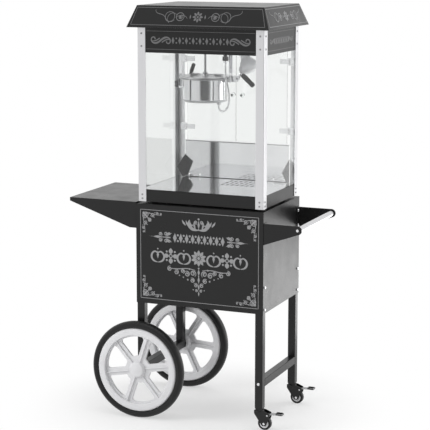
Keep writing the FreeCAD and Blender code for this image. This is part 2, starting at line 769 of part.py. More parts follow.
def make_case():
    """Posts, panes, header, ceiling and roof."""
    post = block(mach_w - post_flange, mach_w, mach_d - post_flange, mach_d, mach_floor, roof_z)
    post = post.cut(block(mach_w - post_flange, mach_w - post_wall, mach_d - post_flange,
                          mach_d - post_wall, mach_floor, roof_z))
    left = mirrored(post, X_AXIS)
    posts = [post, left, mirrored(post, Y_AXIS), mirrored(left, Y_AXIS)]
    save("corner_posts", *[drilled(p, screw_places, screw_diameter) for p in posts])
    pane_top = ceiling_z - side_play
    pane_x = glass_x - glass_thick
    pane_y = glass_y - glass_thick
    save("front_glass", block(-glass_x, glass_x, -glass_y, -pane_y, deck_z, pane_top))
    right = block(pane_x, glass_x, -pane_y + slide_fit, glass_y, deck_z, pane_top)
    save("right_glass", right)
    save("left_glass", mirrored(right, X_AXIS))
    header = four_walls(header_z, roof_z)
    for x in switch_places():
        header = header.cut(block(x - switch_width / 2 - side_play, x + switch_width / 2 + side_play,
                                  case_d - 2 * case_sheet, case_d,
                                  switch_z - switch_height / 2 - side_play,
                                  switch_z + switch_height / 2 + side_play))
    save("header_band", drilled(header, screw_places, screw_diameter))
    plate_w = case_w - case_sheet - slide_fit
    plate_d = case_d - case_sheet - slide_fit
    ceiling = block(-plate_w, plate_w, -plate_d, plate_d, ceiling_z, ceiling_top)
    drive_hole = rod(coupling_radius + ceiling_sheet, (kettle_x, 0, ceiling_z), (kettle_x, 0, ceiling_top))
    save("ceiling_plate", ceiling.cut(drive_hole))
    save("machine_screws", *[button_bolt(seat, into, grip, screw_diameter, screw_head, screw_head_thick)
                             for seat, into, grip in screw_places])


def rectangle(width, depth, z):
    w = width / 2
    d = depth / 2
    return Part.makePolygon([V(-w, -d, z), V(w, -d, z), V(w, d, z), V(-w, d, z), V(-w, -d, z)])


def make_roof():
    """The hipped canopy, a hollow sheet shell on a flat rim."""
    rim_top = roof_z + roof_rim
    top = rim_top + roof_height - roof_rim
    slope = math.hypot(roof_inset, roof_height) / roof_height * roof_sheet
    outer = Part.makeLoft([rectangle(roof_width, roof_depth, rim_top),
                           rectangle(roof_width - 2 * roof_inset, roof_depth - 2 * roof_inset, top)],
                          True, True)
    share = (roof_height - roof_rim - roof_sheet) / (roof_height - roof_rim)
    inset = roof_inset * share
    inner = Part.makeLoft([rectangle(roof_width - 2 * slope, roof_depth - 2 * slope, rim_top),
                           rectangle(roof_width - 2 * slope - 2 * inset, roof_depth - 2 * slope - 2 * inset,
                                     top - roof_sheet)], True, True)
    rim = block(-roof_width / 2, roof_width / 2, -roof_depth / 2, roof_depth / 2, roof_z, rim_top)
    ledge = post_flange / 2
    rim = rim.cut(block(-case_w + ledge, case_w - ledge, -case_d + ledge, case_d - ledge, roof_z, rim_top))
    save("roof_canopy", fused(outer.cut(inner), rim))


# Heights inside the kettle and along its drive
pot_floor = kettle_base + heater_height
brim_z = kettle_top - brim_height
rod_top = ceiling_z - lift_gap
lid_pin_z = kettle_top + lid_sheet + lid_pin / 2 + run_fit + lid_sheet + side_play
knob_z = tilt_z - knob_drop
motor_z = ceiling_top + motor_lift
tail_gland = (kettle_x + tail_gland_x, tail_gland_y, kettle_base - tail_gland_height)
gland_end = ceiling_z - gland_stub - gland_nut_height - gland_ferrule_height


def make_kettle():
    """Pot with its trunnions, heater pan, tilting handle and lid."""
    axis = (kettle_x, 0, 0)
    inner = kettle_radius - kettle_wall
    pot = turned([(0, pot_floor), (kettle_radius, pot_floor), (kettle_radius, brim_z), (kettle_brim, brim_z),
                  (kettle_brim, kettle_top), (inner, kettle_top), (inner, pot_floor + kettle_wall),
                  (0, pot_floor + kettle_wall)], axis, Z_AXIS)
    half = trunnion_block / 2
    edge = kettle_x + kettle_brim
    right_block = block(kettle_x + inner, edge, -half, half, kettle_top - trunnion_block_height, kettle_top)
    pin_end = right_hanger_x + hanger_sheet + side_play + tilt_hub_length
    right_pin = rod(trunnion / 2, (kettle_x + kettle_radius, 0, tilt_z), (pin_end, 0, tilt_z))
    edge = kettle_x - kettle_brim
    left_block = block(edge, kettle_x - inner, -half, half, kettle_top - lock_block_height, kettle_top)
    collar_x = left_hanger_x - hanger_sheet - side_play
    stud_end = collar_x - hanger_sheet
    stud = fused(rod(trunnion / 2, (edge, 0, tilt_z), (stud_end, 0, tilt_z)),
                 rod(trunnion / 2 + hanger_sheet, (collar_x, 0, tilt_z), (stud_end, 0, tilt_z)))
    hollow = rod(inner, (kettle_x, 0, pot_floor + kettle_wall), (kettle_x, 0, kettle_top))
    save("kettle_pot", fused(pot, right_block, left_block, right_pin).cut(hollow), stud)
    pan = rod(kettle_radius, (kettle_x, 0, kettle_base), (kettle_x, 0, pot_floor))
    boss = rod(tail_gland_radius, tail_gland, (tail_gland[0], tail_gland[1], kettle_base))
    save("kettle_heater", fused(pan, boss))
    make_lid()
    hub_x = right_hanger_x + hanger_sheet + side_play
    size = tilt_hub_size / 2
    hub = block(hub_x, pin_end, -size, size, tilt_z - size, tilt_z + size)
    hub = hub.cut(rod(trunnion / 2 + slide_fit, (hub_x, 0, tilt_z), (pin_end, 0, tilt_z)))
    slope = math.radians(tilt_grip_angle)
    along = V(math.cos(slope), 0, -math.sin(slope))
    cap_x = pin_end + hanger_sheet
    cap = block(pin_end, cap_x, -size, size, tilt_z - size, tilt_z + size)
    elbow = V(cap_x + tilt_spindle, 0, tilt_z)
    bend = elbow + V(tilt_out, 0, tilt_rise)
    grip_start = bend + along * tilt_grip_start
    grip_end = grip_start + along * tilt_grip_length
    spindle = rod(tilt_rod / 2, (pin_end, 0, tilt_z), tuple(elbow))
    stem = rod(tilt_rod / 2, tuple(elbow), tuple(bend))
    knees = [Part.makeSphere(tilt_rod / 2, elbow), Part.makeSphere(tilt_rod / 2, bend)]
    arm = rod(tilt_rod / 2, tuple(bend), tuple(grip_end - along * tilt_rod))
    save("tilt_handle", fused(hub, cap, spindle, stem, arm, *knees))
    waist = tilt_grip_diameter / 2
    nose = tilt_grip_length - tilt_grip_taper
    profile = [(0, 0), (waist - tilt_grip_round, 0), (waist, tilt_grip_taper), (waist, nose),
               (waist - tilt_grip_round, tilt_grip_length), (0, tilt_grip_length)]
    grip = turned(profile, tuple(grip_start), along)
    hole = rod(tilt_rod / 2 + slide_fit, tuple(grip_start), tuple(grip_end - along * (tilt_rod - slide_fit)))
    save("tilt_grip", grip.cut(hole))


def make_lid():
    """Front lid with the rod's boss, and the rear flap on its hinge pin."""
    top = kettle_top + lid_sheet
    reach = lid_radius
    disc = rod(lid_radius, (kettle_x, 0, kettle_top), (kettle_x, 0, top))
    split = lid_hinge_y - side_play
    lid = disc.cut(block(kettle_x - reach, kettle_x + reach, split, reach, kettle_top, top))
    boss = rod(lid_boss_radius, (kettle_x, 0, kettle_top), (kettle_x, 0, kettle_top + lid_boss_height))
    hole = rod(stirrer_diameter / 2 + run_fit, (kettle_x, 0, kettle_top),
               (kettle_x, 0, kettle_top + lid_boss_height))
    barrel = lid_pin / 2 + run_fit + lid_sheet
    end = lid_knuckle_x + lid_knuckle / 2 + side_play + lid_lug
    pin = rod(lid_pin / 2, (kettle_x - end, lid_hinge_y, lid_pin_z), (kettle_x + end, lid_hinge_y, lid_pin_z))
    lugs = []
    for side in (-1, 1):
        for face in (-1, 1):
            near = kettle_x + side * lid_knuckle_x + face * (lid_knuckle / 2 + side_play)
            far = near + face * lid_lug
            lugs.append(block(min(near, far), max(near, far), split - 2 * barrel, split, kettle_top,
                              lid_pin_z + lid_pin / 2))
            lugs.append(rod(barrel - side_play, (near, lid_hinge_y, lid_pin_z),
                            (far, lid_hinge_y, lid_pin_z)))
    save("kettle_lid", fused(lid, boss, pin, *lugs).cut(hole))
    low = kettle_top + run_fit
    high = low + lid_sheet
    flap = rod(lid_radius, (kettle_x, 0, low), (kettle_x, 0, high))
    front = lid_hinge_y + side_play
    flap = flap.cut(block(kettle_x - reach, kettle_x + reach, -reach, front, low, high))
    knuckles = []
    for side in (-1, 1):
        near = kettle_x + side * lid_knuckle_x - lid_knuckle / 2
        far = near + lid_knuckle
        knuckles.append(rod(barrel, (near, lid_hinge_y, lid_pin_z), (far, lid_hinge_y, lid_pin_z)))
        knuckles.append(block(near, far, front, front + 2 * barrel, low, lid_pin_z))
    flap = fused(flap, *knuckles)
    bore = rod(lid_pin / 2 + run_fit, (kettle_x - end, lid_hinge_y, lid_pin_z),
               (kettle_x + end, lid_hinge_y, lid_pin_z))
    save("lid_flap", flap.cut(bore))
    lean = math.radians(lid_grip_lean)
    along = V(math.sin(lean), 0, math.cos(lean))
    foot = V(kettle_x + lid_grip_x, lid_grip_y, high)
    radius = grip_diameter / 2
    grip = turned([(0, -grip_diameter), (lid_grip_neck, -grip_diameter), (lid_grip_neck, lid_grip_shoulder),
                   (radius, 2 * lid_grip_shoulder), (radius, lid_grip_length - lid_grip_neck),
                   (lid_grip_neck, lid_grip_length), (0, lid_grip_length)], tuple(foot), along)
    below = block(foot.x - lid_radius, foot.x + lid_radius, -lid_radius, lid_radius, low - lid_radius, high)
    save("lid_handle", grip.cut(below))


def make_drive():
    """Stirrer in the kettle, its coupling and the gear motor above the ceiling."""
    floor = pot_floor + kettle_wall + blade_gap
    shaft = rod(stirrer_diameter / 2, (kettle_x, 0, floor), (kettle_x, 0, rod_top))
    collar_z = kettle_top + lid_boss_height + side_play
    collar = rod(stirrer_diameter, (kettle_x, 0, collar_z), (kettle_x, 0, collar_z + stirrer_diameter))
    blade = block(kettle_x - blade_length, kettle_x + blade_length, -blade_thick / 2, blade_thick / 2,
                  floor, floor + blade_height)
    save("stirrer", fused(shaft, collar, blade))
    cup = rod(coupling_radius, (kettle_x, 0, ceiling_z), (kettle_x, 0, ceiling_z + coupling_height))
    neck_top = motor_z + coupling_height
    neck = rod(coupling_shaft / 2, (kettle_x, 0, ceiling_z), (kettle_x, 0, neck_top))
    save("motor_coupling", fused(cup, neck))
    long = motor_length / 2
    wide = motor_width / 2
    box = block(kettle_x - long, kettle_x + long, -wide, wide, motor_z, motor_z + motor_height)
    can = rod(motor_can_radius, (kettle_x, 0, motor_z + motor_height),
              (kettle_x, 0, motor_z + motor_height + motor_can_height))
    legs = []
    inset = bolt_diameter
    for x in (kettle_x - long + inset, kettle_x + long - inset):
        for y in (-wide + inset, wide - inset):
            legs.append(rod(inset, (x, y, ceiling_top), (x, y, motor_z)))
    bore = rod(coupling_shaft / 2 + run_fit, (kettle_x, 0, motor_z), (kettle_x, 0, neck_top + side_play))
    save("gear_motor", fused(box, can, *legs).cut(bore))


def make_hangers():
    """Two strips that carry the kettle's trunnions, and the knob that locks it."""
    half = hanger_width / 2
    outer = left_hanger_x - hanger_sheet
    left = fused(block(outer, left_hanger_x, -half, half, knob_z - hanger_tail, ceiling_z),
                 block(outer - hanger_foot, left_hanger_x, -half, half, ceiling_z - hanger_sheet, ceiling_z))
    left = left.cut(rod(trunnion / 2 + run_fit, (outer, 0, tilt_z), (left_hanger_x, 0, tilt_z)))
    left = left.cut(rod(knob_stud / 2 + run_fit, (outer, 0, knob_z), (left_hanger_x, 0, knob_z)))
    outer = right_hanger_x + hanger_sheet
    foot_z = ceiling_z - hanger_sheet
    right = fused(block(right_hanger_x, outer, -half, half, tilt_z - hanger_tail, ceiling_z),
                  block(right_hanger_x, outer + hanger_foot, -half, half, foot_z, ceiling_z))
    right = right.cut(rod(trunnion / 2 + run_fit, (right_hanger_x, 0, tilt_z), (outer, 0, tilt_z)))
    save("kettle_hangers", left, right)
    face = left_hanger_x - hanger_sheet - side_play
    back = face - hanger_sheet
    lobe_at = knob_radius - knob_lobe
    knob = rod(lobe_at, (back, 0, knob_z), (back - knob_thick, 0, knob_z))
    lobes = []
    for i in range(knob_lobes):
        angle = 2 * math.pi * i / knob_lobes
        y = lobe_at * math.cos(angle)
        z = knob_z + lobe_at * math.sin(angle)
        lobes.append(rod(knob_lobe, (back, y, z), (back - knob_thick, y, z)))
    boss = rod(knob_stud, (face, 0, knob_z), (back, 0, knob_z))
    stud = rod(knob_stud / 2, (face, 0, knob_z), (left_hanger_x, 0, knob_z))
    save("lock_knob", fused(knob, boss, stud, *lobes))


def make_lamp():
    """Reflector lamp in a tilted holder under the ceiling."""
    tilt = math.radians(lamp_tilt)
    along = V(math.sin(tilt), 0, -math.cos(tilt))
    top = V(lamp_x, lamp_y, ceiling_z)
    mouth = top + along * socket_length
    shell = rod(socket_radius, tuple(top - along * socket_radius), tuple(mouth))
    room = 2 * socket_radius
    above = block(lamp_x - room, lamp_x + room, lamp_y - room, lamp_y + room, ceiling_z, ceiling_z + room)
    rose = rod(socket_radius + ceiling_sheet, (lamp_x, lamp_y, ceiling_z - ceiling_sheet), tuple(top))
    save("lamp_holder", fused(shell.cut(above), rose))
    band = bulb_neck + bulb_cone
    front = band + bulb_band + bulb_dome
    bulb = turned([(0, 0), (bulb_neck_radius, 0), (bulb_neck_radius, bulb_neck), (bulb_radius, band),
                   (bulb_radius, front), (0, front)], tuple(mouth), along)
    cap_radius = (bulb_radius ** 2 + bulb_dome ** 2) / (2 * bulb_dome)
    cap = Part.makeSphere(cap_radius, mouth + along * (front - cap_radius))
    stem = rod(bulb_radius, tuple(mouth), tuple(mouth + along * (band + bulb_band)))
    save("lamp_bulb", bulb.common(cap.fuse(stem)).removeSplitter())


def make_conduit():
    """Flexible lead from the ceiling gland down and round into the kettle's base."""
    x = gland_x
    y = gland_y
    nut_z = ceiling_z - gland_stub
    ferrule_z = nut_z - gland_nut_height
    stub = rod(gland_ferrule_radius, (x, y, nut_z), (x, y, ceiling_z))
    nut = rod(gland_nut_radius, (x, y, ferrule_z), (x, y, nut_z))
    ferrule = rod(gland_ferrule_radius, (x, y, gland_end), (x, y, ferrule_z))
    save("conduit_gland", fused(stub, nut, ferrule))
    tail_x, tail_y, tail_z = tail_gland
    points = [V(x, y, gland_end), V(x, y, gland_end - conduit_drop), V(48, -40.5, 1272), V(57, -40, 1240),
              V(59, -39, 1209), V(55, -38, 1183), V(43, -35, 1165), V(25, -32, 1158),
              V(tail_x, tail_y, tail_z - conduit_rise), V(tail_x, tail_y, tail_z - slide_fit)]
    save("kettle_conduit", round_tube(points, conduit_diameter / 2))


def round_tube(points, radius):
    """A tube along straight runs joined by tangent arcs, as wide as the runs allow."""
    arc_share = 0.45
    edges = []
    start = points[0]
    for before, corner, after in zip(points, points[1:], points[2:]):
        back = before - corner
        ahead = after - corner
        turn = math.pi - back.getAngle(ahead)
        reach = arc_share * min(back.Length, ahead.Length)
        first = corner + back.normalize() * reach
        last = corner + ahead.normalize() * reach
        bend = reach / math.tan(turn / 2)
        inward = (back + ahead).normalize()
        middle = corner + inward * (bend / math.cos(turn / 2) - bend)
        print("bend radius", round(bend, 1))
        edges.append(Part.LineSegment(start, first).toShape())
        edges.append(Part.Arc(first, middle, last).toShape())
        start = last
    edges.append(Part.LineSegment(start, points[-1]).toShape())
    path = Part.Wire(edges)
    ring = Part.Wire(Part.makeCircle(radius, points[0], points[1] - points[0]))
    tube = path.makePipeShell([ring], True, False)
    drawn = math.pi * radius ** 2 * path.Length
    print("tube length", round(path.Length, 1), "volume against drawn", round(tube.Volume / drawn, 4))
    return tube


# Rear opening: doors above, serving flap below
flap_top = deck_z + flap_height
flap_low = deck_z + 2 * side_play
flap_y = case_d - glass_thick
flap_half = mach_w - post_flange - 2 * flap_sheet - side_play
flap_axis = flap_y + flap_sheet / 2
flap_barrel = flap_pin / 2 + run_fit + flap_sheet
flap_axis_z = deck_z + flap_barrel + side_play
lug_thick = 2 * post_wall
door_low = flap_top + door_gap
door_high = header_z - door_gap
hinge_low = door_low + hinge_from_foot
hinge_high = door_high - hinge_from_top
door_edge = door_axis_x - hinge_barrel / 2 - 2 * side_play
door_in = case_d - glass_thick


def make_doors():
    """Two glass doors at the back, on pin hinges at the rear posts."""
    glass = block(door_gap / 2, door_edge, door_in, case_d, door_low, door_high)
    save("right_door_glass", glass)
    save("left_door_glass", mirrored(glass, X_AXIS))
    fittings = []
    brackets = []
    for z in (hinge_low, hinge_high):
        knuckle = hinge_knuckle / 2
        foot = (door_axis_x, door_axis_y, z - knuckle)
        head = (door_axis_x, door_axis_y, z + knuckle)
        outside = block(door_edge - clamp_reach, door_axis_x - hinge_pin / 2, case_d, case_d + clamp_sheet,
                        z - knuckle, z + knuckle)
        inside = block(door_edge - clamp_reach, door_axis_x - hinge_pin / 2, door_in - clamp_sheet, door_in,
                       z - knuckle, z + knuckle)
        web = block(door_edge, door_axis_x - hinge_pin / 2, door_in - clamp_sheet, case_d + clamp_sheet,
                    z - knuckle, z + knuckle)
        bore = rod(hinge_pin / 2 + run_fit, foot, head)
        fittings.append(fused(rod(hinge_barrel / 2, foot, head), outside, inside, web).cut(bore))
        brackets.append(door_bracket(z))
    knob_x = door_gap / 2 + 2 * door_knob_radius
    knob_z_mid = (door_low + door_high) / 2
    neck = door_knob_radius / 2
    shoulder = door_knob_length / 2
    knob = turned([(0, 0), (neck, 0), (neck, shoulder), (door_knob_radius, shoulder + door_knob_edge),
                   (door_knob_radius, door_knob_length - door_knob_edge),
                   (door_knob_radius - door_knob_edge, door_knob_length), (0, door_knob_length)],
                  (knob_x, case_d, knob_z_mid), Y_AXIS)
    fittings.append(knob)
    save("right_door_fittings", *fittings)
    save("left_door_fittings", *[mirrored(piece, X_AXIS) for piece in fittings])
    pins = flap_brackets()
    both = brackets + [mirrored(piece, X_AXIS) for piece in brackets]
    save("rear_hinge_brackets", *both, *pins)


def door_bracket(z):
    """The fixed half of a door hinge: two lugs and a pin on the post's inner face."""
    knuckle = hinge_knuckle / 2 + side_play
    half = hinge_length / 2
    inside = case_d - hinge_barrel / 2
    root = door_axis_x + hinge_barrel / 2 + 2 * side_play
    end = case_w - glass_thick - hinge_barrel
    plate = block(root, end, inside, case_d, z - half, z + half)
    pin = rod(hinge_pin / 2, (door_axis_x, door_axis_y, z - half), (door_axis_x, door_axis_y, z + half))
    lugs = []
    for low, high in ((z - half, z - knuckle), (z + knuckle, z + half)):
        lugs.append(block(door_axis_x - hinge_pin / 2, root, inside, case_d, low, high))
    return fused(plate, pin, *lugs)


def flap_brackets():
    """Two pins on lugs that stand on the deck and carry the serving flap."""
    pieces = []
    for side in (-1, 1):
        near = side * flap_hinge_x - flap_knuckle / 2 - side_play
        far = side * flap_hinge_x + flap_knuckle / 2 + side_play
        pin = rod(flap_pin / 2, (near - lug_thick, flap_axis, flap_axis_z),
                  (far + lug_thick, flap_axis, flap_axis_z))
        lugs = []
        for x in (near - lug_thick, far):
            lugs.append(block(x, x + lug_thick, flap_axis - flap_barrel, flap_axis + flap_barrel / 2, deck_z,
                              flap_axis_z + flap_pin))
        pieces.append(fused(pin, *lugs))
    return pieces


def make_flap():
    """Polished serving flap, hinged at its foot, with a cheek plate at each end."""
    plate = block(-flap_half, flap_half, flap_y, flap_y + flap_sheet, flap_low, flap_top)
    lip = block(-flap_half, flap_half, flap_y, flap_y + flap_lip, flap_top - flap_sheet, flap_top)
    shapes = [plate, lip]
    bores = []
    for side in (-1, 1):
        near = side * flap_hinge_x - flap_knuckle / 2
        far = near + flap_knuckle
        ends = ((near, flap_axis, flap_axis_z), (far, flap_axis, flap_axis_z))
        shapes.append(rod(flap_barrel, *ends))
        bores.append(rod(flap_pin / 2 + run_fit, *ends))
    flap = fused(*shapes)
    for side in (-1, 1):
        near = side * flap_hinge_x - flap_knuckle / 2
        far = near + flap_knuckle
        room = lug_thick + 2 * side_play
        for x in (near - room, far):
            flap = flap.cut(block(x, x + room, flap_y - flap_sheet, flap_y + 2 * flap_sheet, flap_low,
                                  flap_axis_z + 2 * flap_pin))
    for bore in bores:
        flap = flap.cut(bore)
    save("serving_flap", flap)
    back = flap_y + flap_sheet
    outline = [(back, flap_low), (back, deck_z + cheek_top), (back - cheek_reach, deck_z + cheek_tip),
               (back - cheek_foot, flap_low)]
    cheek = slab_yz(outline, flap_half, flap_half + flap_sheet)
    save("flap_cheeks", cheek, mirrored(cheek, X_AXIS))


def make_switches():
    """Three rockers that tip on a pin in the rear of the header."""
    names = ("heat_switch", "stir_switch", "light_switch")
    housings = []
    wide = switch_width / 2
    tall = switch_height / 2
    axis_y = case_d - case_sheet
    half_w_rocker = wide - case_sheet - side_play
    reach = tall - case_sheet - 3 * side_play
    crown = switch_rim
    for name, x in zip(names, switch_places()):
        profile = [(axis_y - crown, switch_z - reach / 2), (case_d, switch_z - reach),
                   (case_d + crown, switch_z - reach), (case_d + switch_dish, switch_z),
                   (case_d + crown, switch_z + reach), (case_d, switch_z + reach),
                   (axis_y - crown, switch_z + reach / 2)]
        rocker = slab_yz(profile, x - half_w_rocker, x + half_w_rocker)
        pin = rod(switch_rim / 2 + run_fit, (x - wide, axis_y, switch_z), (x + wide, axis_y, switch_z))
        rocker = turned_about(rocker.cut(pin), (x, axis_y, switch_z), X_AXIS, -switch_throw / 2)
        save(name, rocker)
        housings.append(switch_housing(x, axis_y))
    save("electric_housings", *housings, power_inlet())


def switch_housing(x, axis_y):
    """The fixed well behind one rocker, with its pivot pin."""
    wide = switch_width / 2
    tall = switch_height / 2
    wall = case_sheet
    inner_w = wide - wall
    body = block(x - wide, x + wide, case_d - switch_depth, case_d + wall, switch_z - tall, switch_z + tall)
    body = body.cut(block(x - inner_w, x + inner_w, case_d - switch_depth + wall, case_d + wall,
                          switch_z - tall + wall, switch_z + tall - wall))
    pin = rod(switch_rim / 2, (x - wide, axis_y, switch_z), (x + wide, axis_y, switch_z))
    return fused(body, pin)


make_cabinet()
make_legs()
make_wheels()
make_casters()
make_side_shelf()
make_handle()
make_base()
make_drawer()
make_case()
make_roof()
make_kettle()
make_drive()
make_hangers()
make_lamp()
make_conduit()
make_doors()
make_flap()
make_switches()
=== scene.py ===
"""Looks of a popcorn machine on a two-wheeled cart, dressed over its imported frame.

Lengths are in metres, in the frame's axes: X to the right, Y to the back and Z up.
"""
import math

import bmesh
import bpy
from mathutils import Matrix, Vector


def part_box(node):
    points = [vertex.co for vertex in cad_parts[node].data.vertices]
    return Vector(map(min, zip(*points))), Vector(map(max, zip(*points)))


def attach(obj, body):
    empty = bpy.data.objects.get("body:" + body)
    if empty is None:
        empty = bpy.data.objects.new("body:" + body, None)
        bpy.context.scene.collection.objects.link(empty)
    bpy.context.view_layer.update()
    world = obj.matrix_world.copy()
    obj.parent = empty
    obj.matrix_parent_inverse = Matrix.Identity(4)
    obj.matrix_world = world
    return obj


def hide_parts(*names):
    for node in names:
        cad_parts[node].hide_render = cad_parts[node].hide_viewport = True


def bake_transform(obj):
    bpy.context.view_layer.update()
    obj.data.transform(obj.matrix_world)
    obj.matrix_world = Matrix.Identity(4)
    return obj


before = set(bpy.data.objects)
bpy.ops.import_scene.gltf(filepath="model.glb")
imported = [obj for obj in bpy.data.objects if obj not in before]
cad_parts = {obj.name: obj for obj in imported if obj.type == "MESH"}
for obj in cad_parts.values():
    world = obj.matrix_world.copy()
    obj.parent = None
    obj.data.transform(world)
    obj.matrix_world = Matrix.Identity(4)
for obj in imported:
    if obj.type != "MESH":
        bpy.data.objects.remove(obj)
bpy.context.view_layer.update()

scene = bpy.context.scene
scene.view_settings.view_transform = "Standard"
MM = 0.001
MERGE = MM / 100         # points nearer than this are one
X_AXIS = Vector((1, 0, 0))
Y_AXIS = Vector((0, 1, 0))
Z_AXIS = Vector((0, 0, 1))

# Camera, at the photograph's viewing angle
FRAME_PX = 430
FOCAL_PX = 1515.2
AXIS_PX = (209.1, 190.1)
SENSOR = 36.0
CAMERA_AT = (2.2336, -5.2286, 1.7936)
LOOK_DOWN = 9.41         # degrees below level
LOOK_ASIDE = 22.89       # degrees round from straight in front
CAMERA_TURN = (math.radians(90 - LOOK_DOWN), 0.0, math.radians(LOOK_ASIDE))
FAR_CLIP = 200.0

camera = bpy.data.objects.new("photo_camera", bpy.data.cameras.new("photo_camera"))
camera.location = CAMERA_AT
camera.rotation_euler = CAMERA_TURN
camera.data.sensor_width = SENSOR
camera.data.lens = FOCAL_PX / FRAME_PX * SENSOR
camera.data.shift_x = 0.5 - AXIS_PX[0] / FRAME_PX
camera.data.shift_y = AXIS_PX[1] / FRAME_PX - 0.5
camera.data.clip_end = FAR_CLIP
scene.collection.objects.link(camera)
scene.camera = camera


# Shapes, each a bmesh that a piece is put together from
def block(low, high):
    """A block between two corners."""
    low, high = Vector(low), Vector(high)
    bm = bmesh.new()
    bmesh.ops.create_cube(bm, size=1.0)
    bmesh.ops.scale(bm, vec=high - low, verts=bm.verts[:])
    bmesh.ops.translate(bm, vec=(low + high) / 2, verts=bm.verts[:])
    return bm


def slab(outline, push):
    """A flat outline of points, pushed along a vector."""
    bm = bmesh.new()
    face = bm.faces.new([bm.verts.new(point) for point in outline])
    grown = bmesh.ops.extrude_face_region(bm, geom=[face])["geom"]
    raised = [v for v in grown if isinstance(v, bmesh.types.BMVert)]
    bmesh.ops.translate(bm, vec=push, verts=raised)
    bmesh.ops.recalc_face_normals(bm, faces=bm.faces[:])
    return bm


def turned(profile, steps=64):
    """A round shape about Z, from an outline of (radius, height) points."""
    bm = bmesh.new()
    points = [bm.verts.new((radius, 0, height)) for radius, height in profile]
    edges = [bm.edges.new(pair) for pair in zip(points, points[1:])]
    bmesh.ops.spin(bm, geom=points + edges, axis=Z_AXIS, angle=math.tau, steps=steps, use_merge=True)
    bmesh.ops.remove_doubles(bm, verts=bm.verts[:], dist=MERGE)
    bmesh.ops.recalc_face_normals(bm, faces=bm.faces[:])
    return bm


def soften(bm, width, segments=2, sharper=30):
    """Round the edges that turn by more than an angle in degrees."""
    limit = math.radians(sharper)
    edges = [e for e in bm.edges if len(e.link_faces) == 2 and e.calc_face_angle() > limit]
    bmesh.ops.bevel(bm, geom=edges, offset=width, offset_type="OFFSET", segments=segments, profile=0.5,
                    affect="EDGES", clamp_overlap=True, material=-1)
    return bm


def placed(bm, at=(0, 0, 0), axis=Z_AXIS, spin=0.0):
    """The shape with its Z turned to an axis, after a spin about its own Z, then moved."""
    lean = Z_AXIS.rotation_difference(Vector(axis)).to_matrix().to_4x4()
    bm.transform(Matrix.Translation(at) @ lean @ Matrix.Rotation(spin, 4, "Z"))
    return bm


def flipped(bm, axis):
    """The shape mirrored through the plane square to an axis, 0 for X and 1 for Y."""
    scale = [1, 1, 1]
    scale[axis] = -1
    bm.transform(Matrix.Diagonal((*scale, 1)))
    bmesh.ops.reverse_faces(bm, faces=bm.faces[:])
    return bm


def together(*shapes):
    """One bmesh from several."""
    whole = bmesh.new()
    for shape in shapes:
        mesh = bpy.data.meshes.new("loose")
        shape.to_mesh(mesh)
        shape.free()
        whole.from_mesh(mesh)
        bpy.data.meshes.remove(mesh)
    return whole


def middle_of(node):
    """The middle of a CAD node's box."""
    low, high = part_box(node)
    return (low + high) / 2


def new_line(curve, points, kind="POLY"):
    """A line through points, added to a curve."""
    line = curve.splines.new(kind)
    line.points.add(len(points) - 1)
    for made, place in zip(line.points, points):
        made.co = (*place, 1)
    return line


def curve_mesh(curve):
    """The mesh that a curve draws; the curve is used up."""
    maker = bpy.data.objects.new(curve.name, curve)
    mesh = bpy.data.meshes.new_from_object(maker)
    bpy.data.objects.remove(maker)
    bpy.data.curves.remove(curve)
    return mesh


def curve_shape(curve):
    """The bmesh that a curve draws; the curve is used up."""
    mesh = curve_mesh(curve)
    bm = bmesh.new()
    bm.from_mesh(mesh)
    bpy.data.meshes.remove(mesh)
    return bm


def piece(name, bm, finish, body="cart", stands_for=(), smooth=40):
    """A named piece of the object: its mesh, its finish, the body it rides on and the nodes it stands for."""
    mesh = bpy.data.meshes.new(name)
    bm.to_mesh(mesh)
    bm.free()
    mesh.materials.append(finish)
    mesh.shade_smooth()
    mesh.set_sharp_from_angle(angle=math.radians(smooth))
    thing = bpy.data.objects.new(name, mesh)
    scene.collection.objects.link(thing)
    shading = thing.modifiers.new("even_shading", "WEIGHTED_NORMAL")
    shading.keep_sharp = True
    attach(thing, body)
    if stands_for:
        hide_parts(*stands_for)
    return thing


def dress(finish, *nodes):
    """Give CAD nodes that keep their own shape a finish."""
    for node in nodes:
        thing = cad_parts[node]
        thing.data.materials.clear()
        thing.data.materials.append(finish)


# Finishes
GRAIN_DEPTH = 0.4 * MM
LINE_DEPTH = 0.05 * MM
NOISE_LOW = 0.3          # most of a noise pattern lies between these
NOISE_HIGH = 0.7


def add_node(tree, kind, **inputs):
    """A shader node with some of its input sockets set by name."""
    made = tree.nodes.new("ShaderNode" + kind)
    for name, value in inputs.items():
        made.inputs[name.replace("_", " ")].default_value = value
    return made


def new_group(name, inputs, outputs):
    """An empty shader group with named value sockets, and its two ends."""
    tree = bpy.data.node_groups.new(name, "ShaderNodeTree")
    for socket in inputs:
        tree.interface.new_socket(socket, in_out="INPUT", socket_type="NodeSocketFloat")
    for socket in outputs:
        tree.interface.new_socket(socket, in_out="OUTPUT", socket_type="NodeSocketFloat")
    return tree, tree.nodes.new("NodeGroupInput"), tree.nodes.new("NodeGroupOutput")


def make_skin_group():
    """Fine grain for bump, with a broad mottle over it."""
    tree, ends_in, ends_out = new_group("skin", ["Pitch", "Broad"], ["Grain", "Mottle"])
    place = add_node(tree, "TexCoord")
    grain = add_node(tree, "TexNoise", Detail=2.0, Roughness=0.55)
    mottle = add_node(tree, "TexNoise", Detail=4.0, Roughness=0.6)
    for noise, pitch in ((grain, "Pitch"), (mottle, "Broad")):
        tree.links.new(place.outputs["Object"], noise.inputs["Vector"])
        tree.links.new(ends_in.outputs[pitch], noise.inputs["Scale"])
    tree.links.new(grain.outputs["Fac"], ends_out.inputs["Grain"])
    tree.links.new(mottle.outputs["Fac"], ends_out.inputs["Mottle"])
    return tree


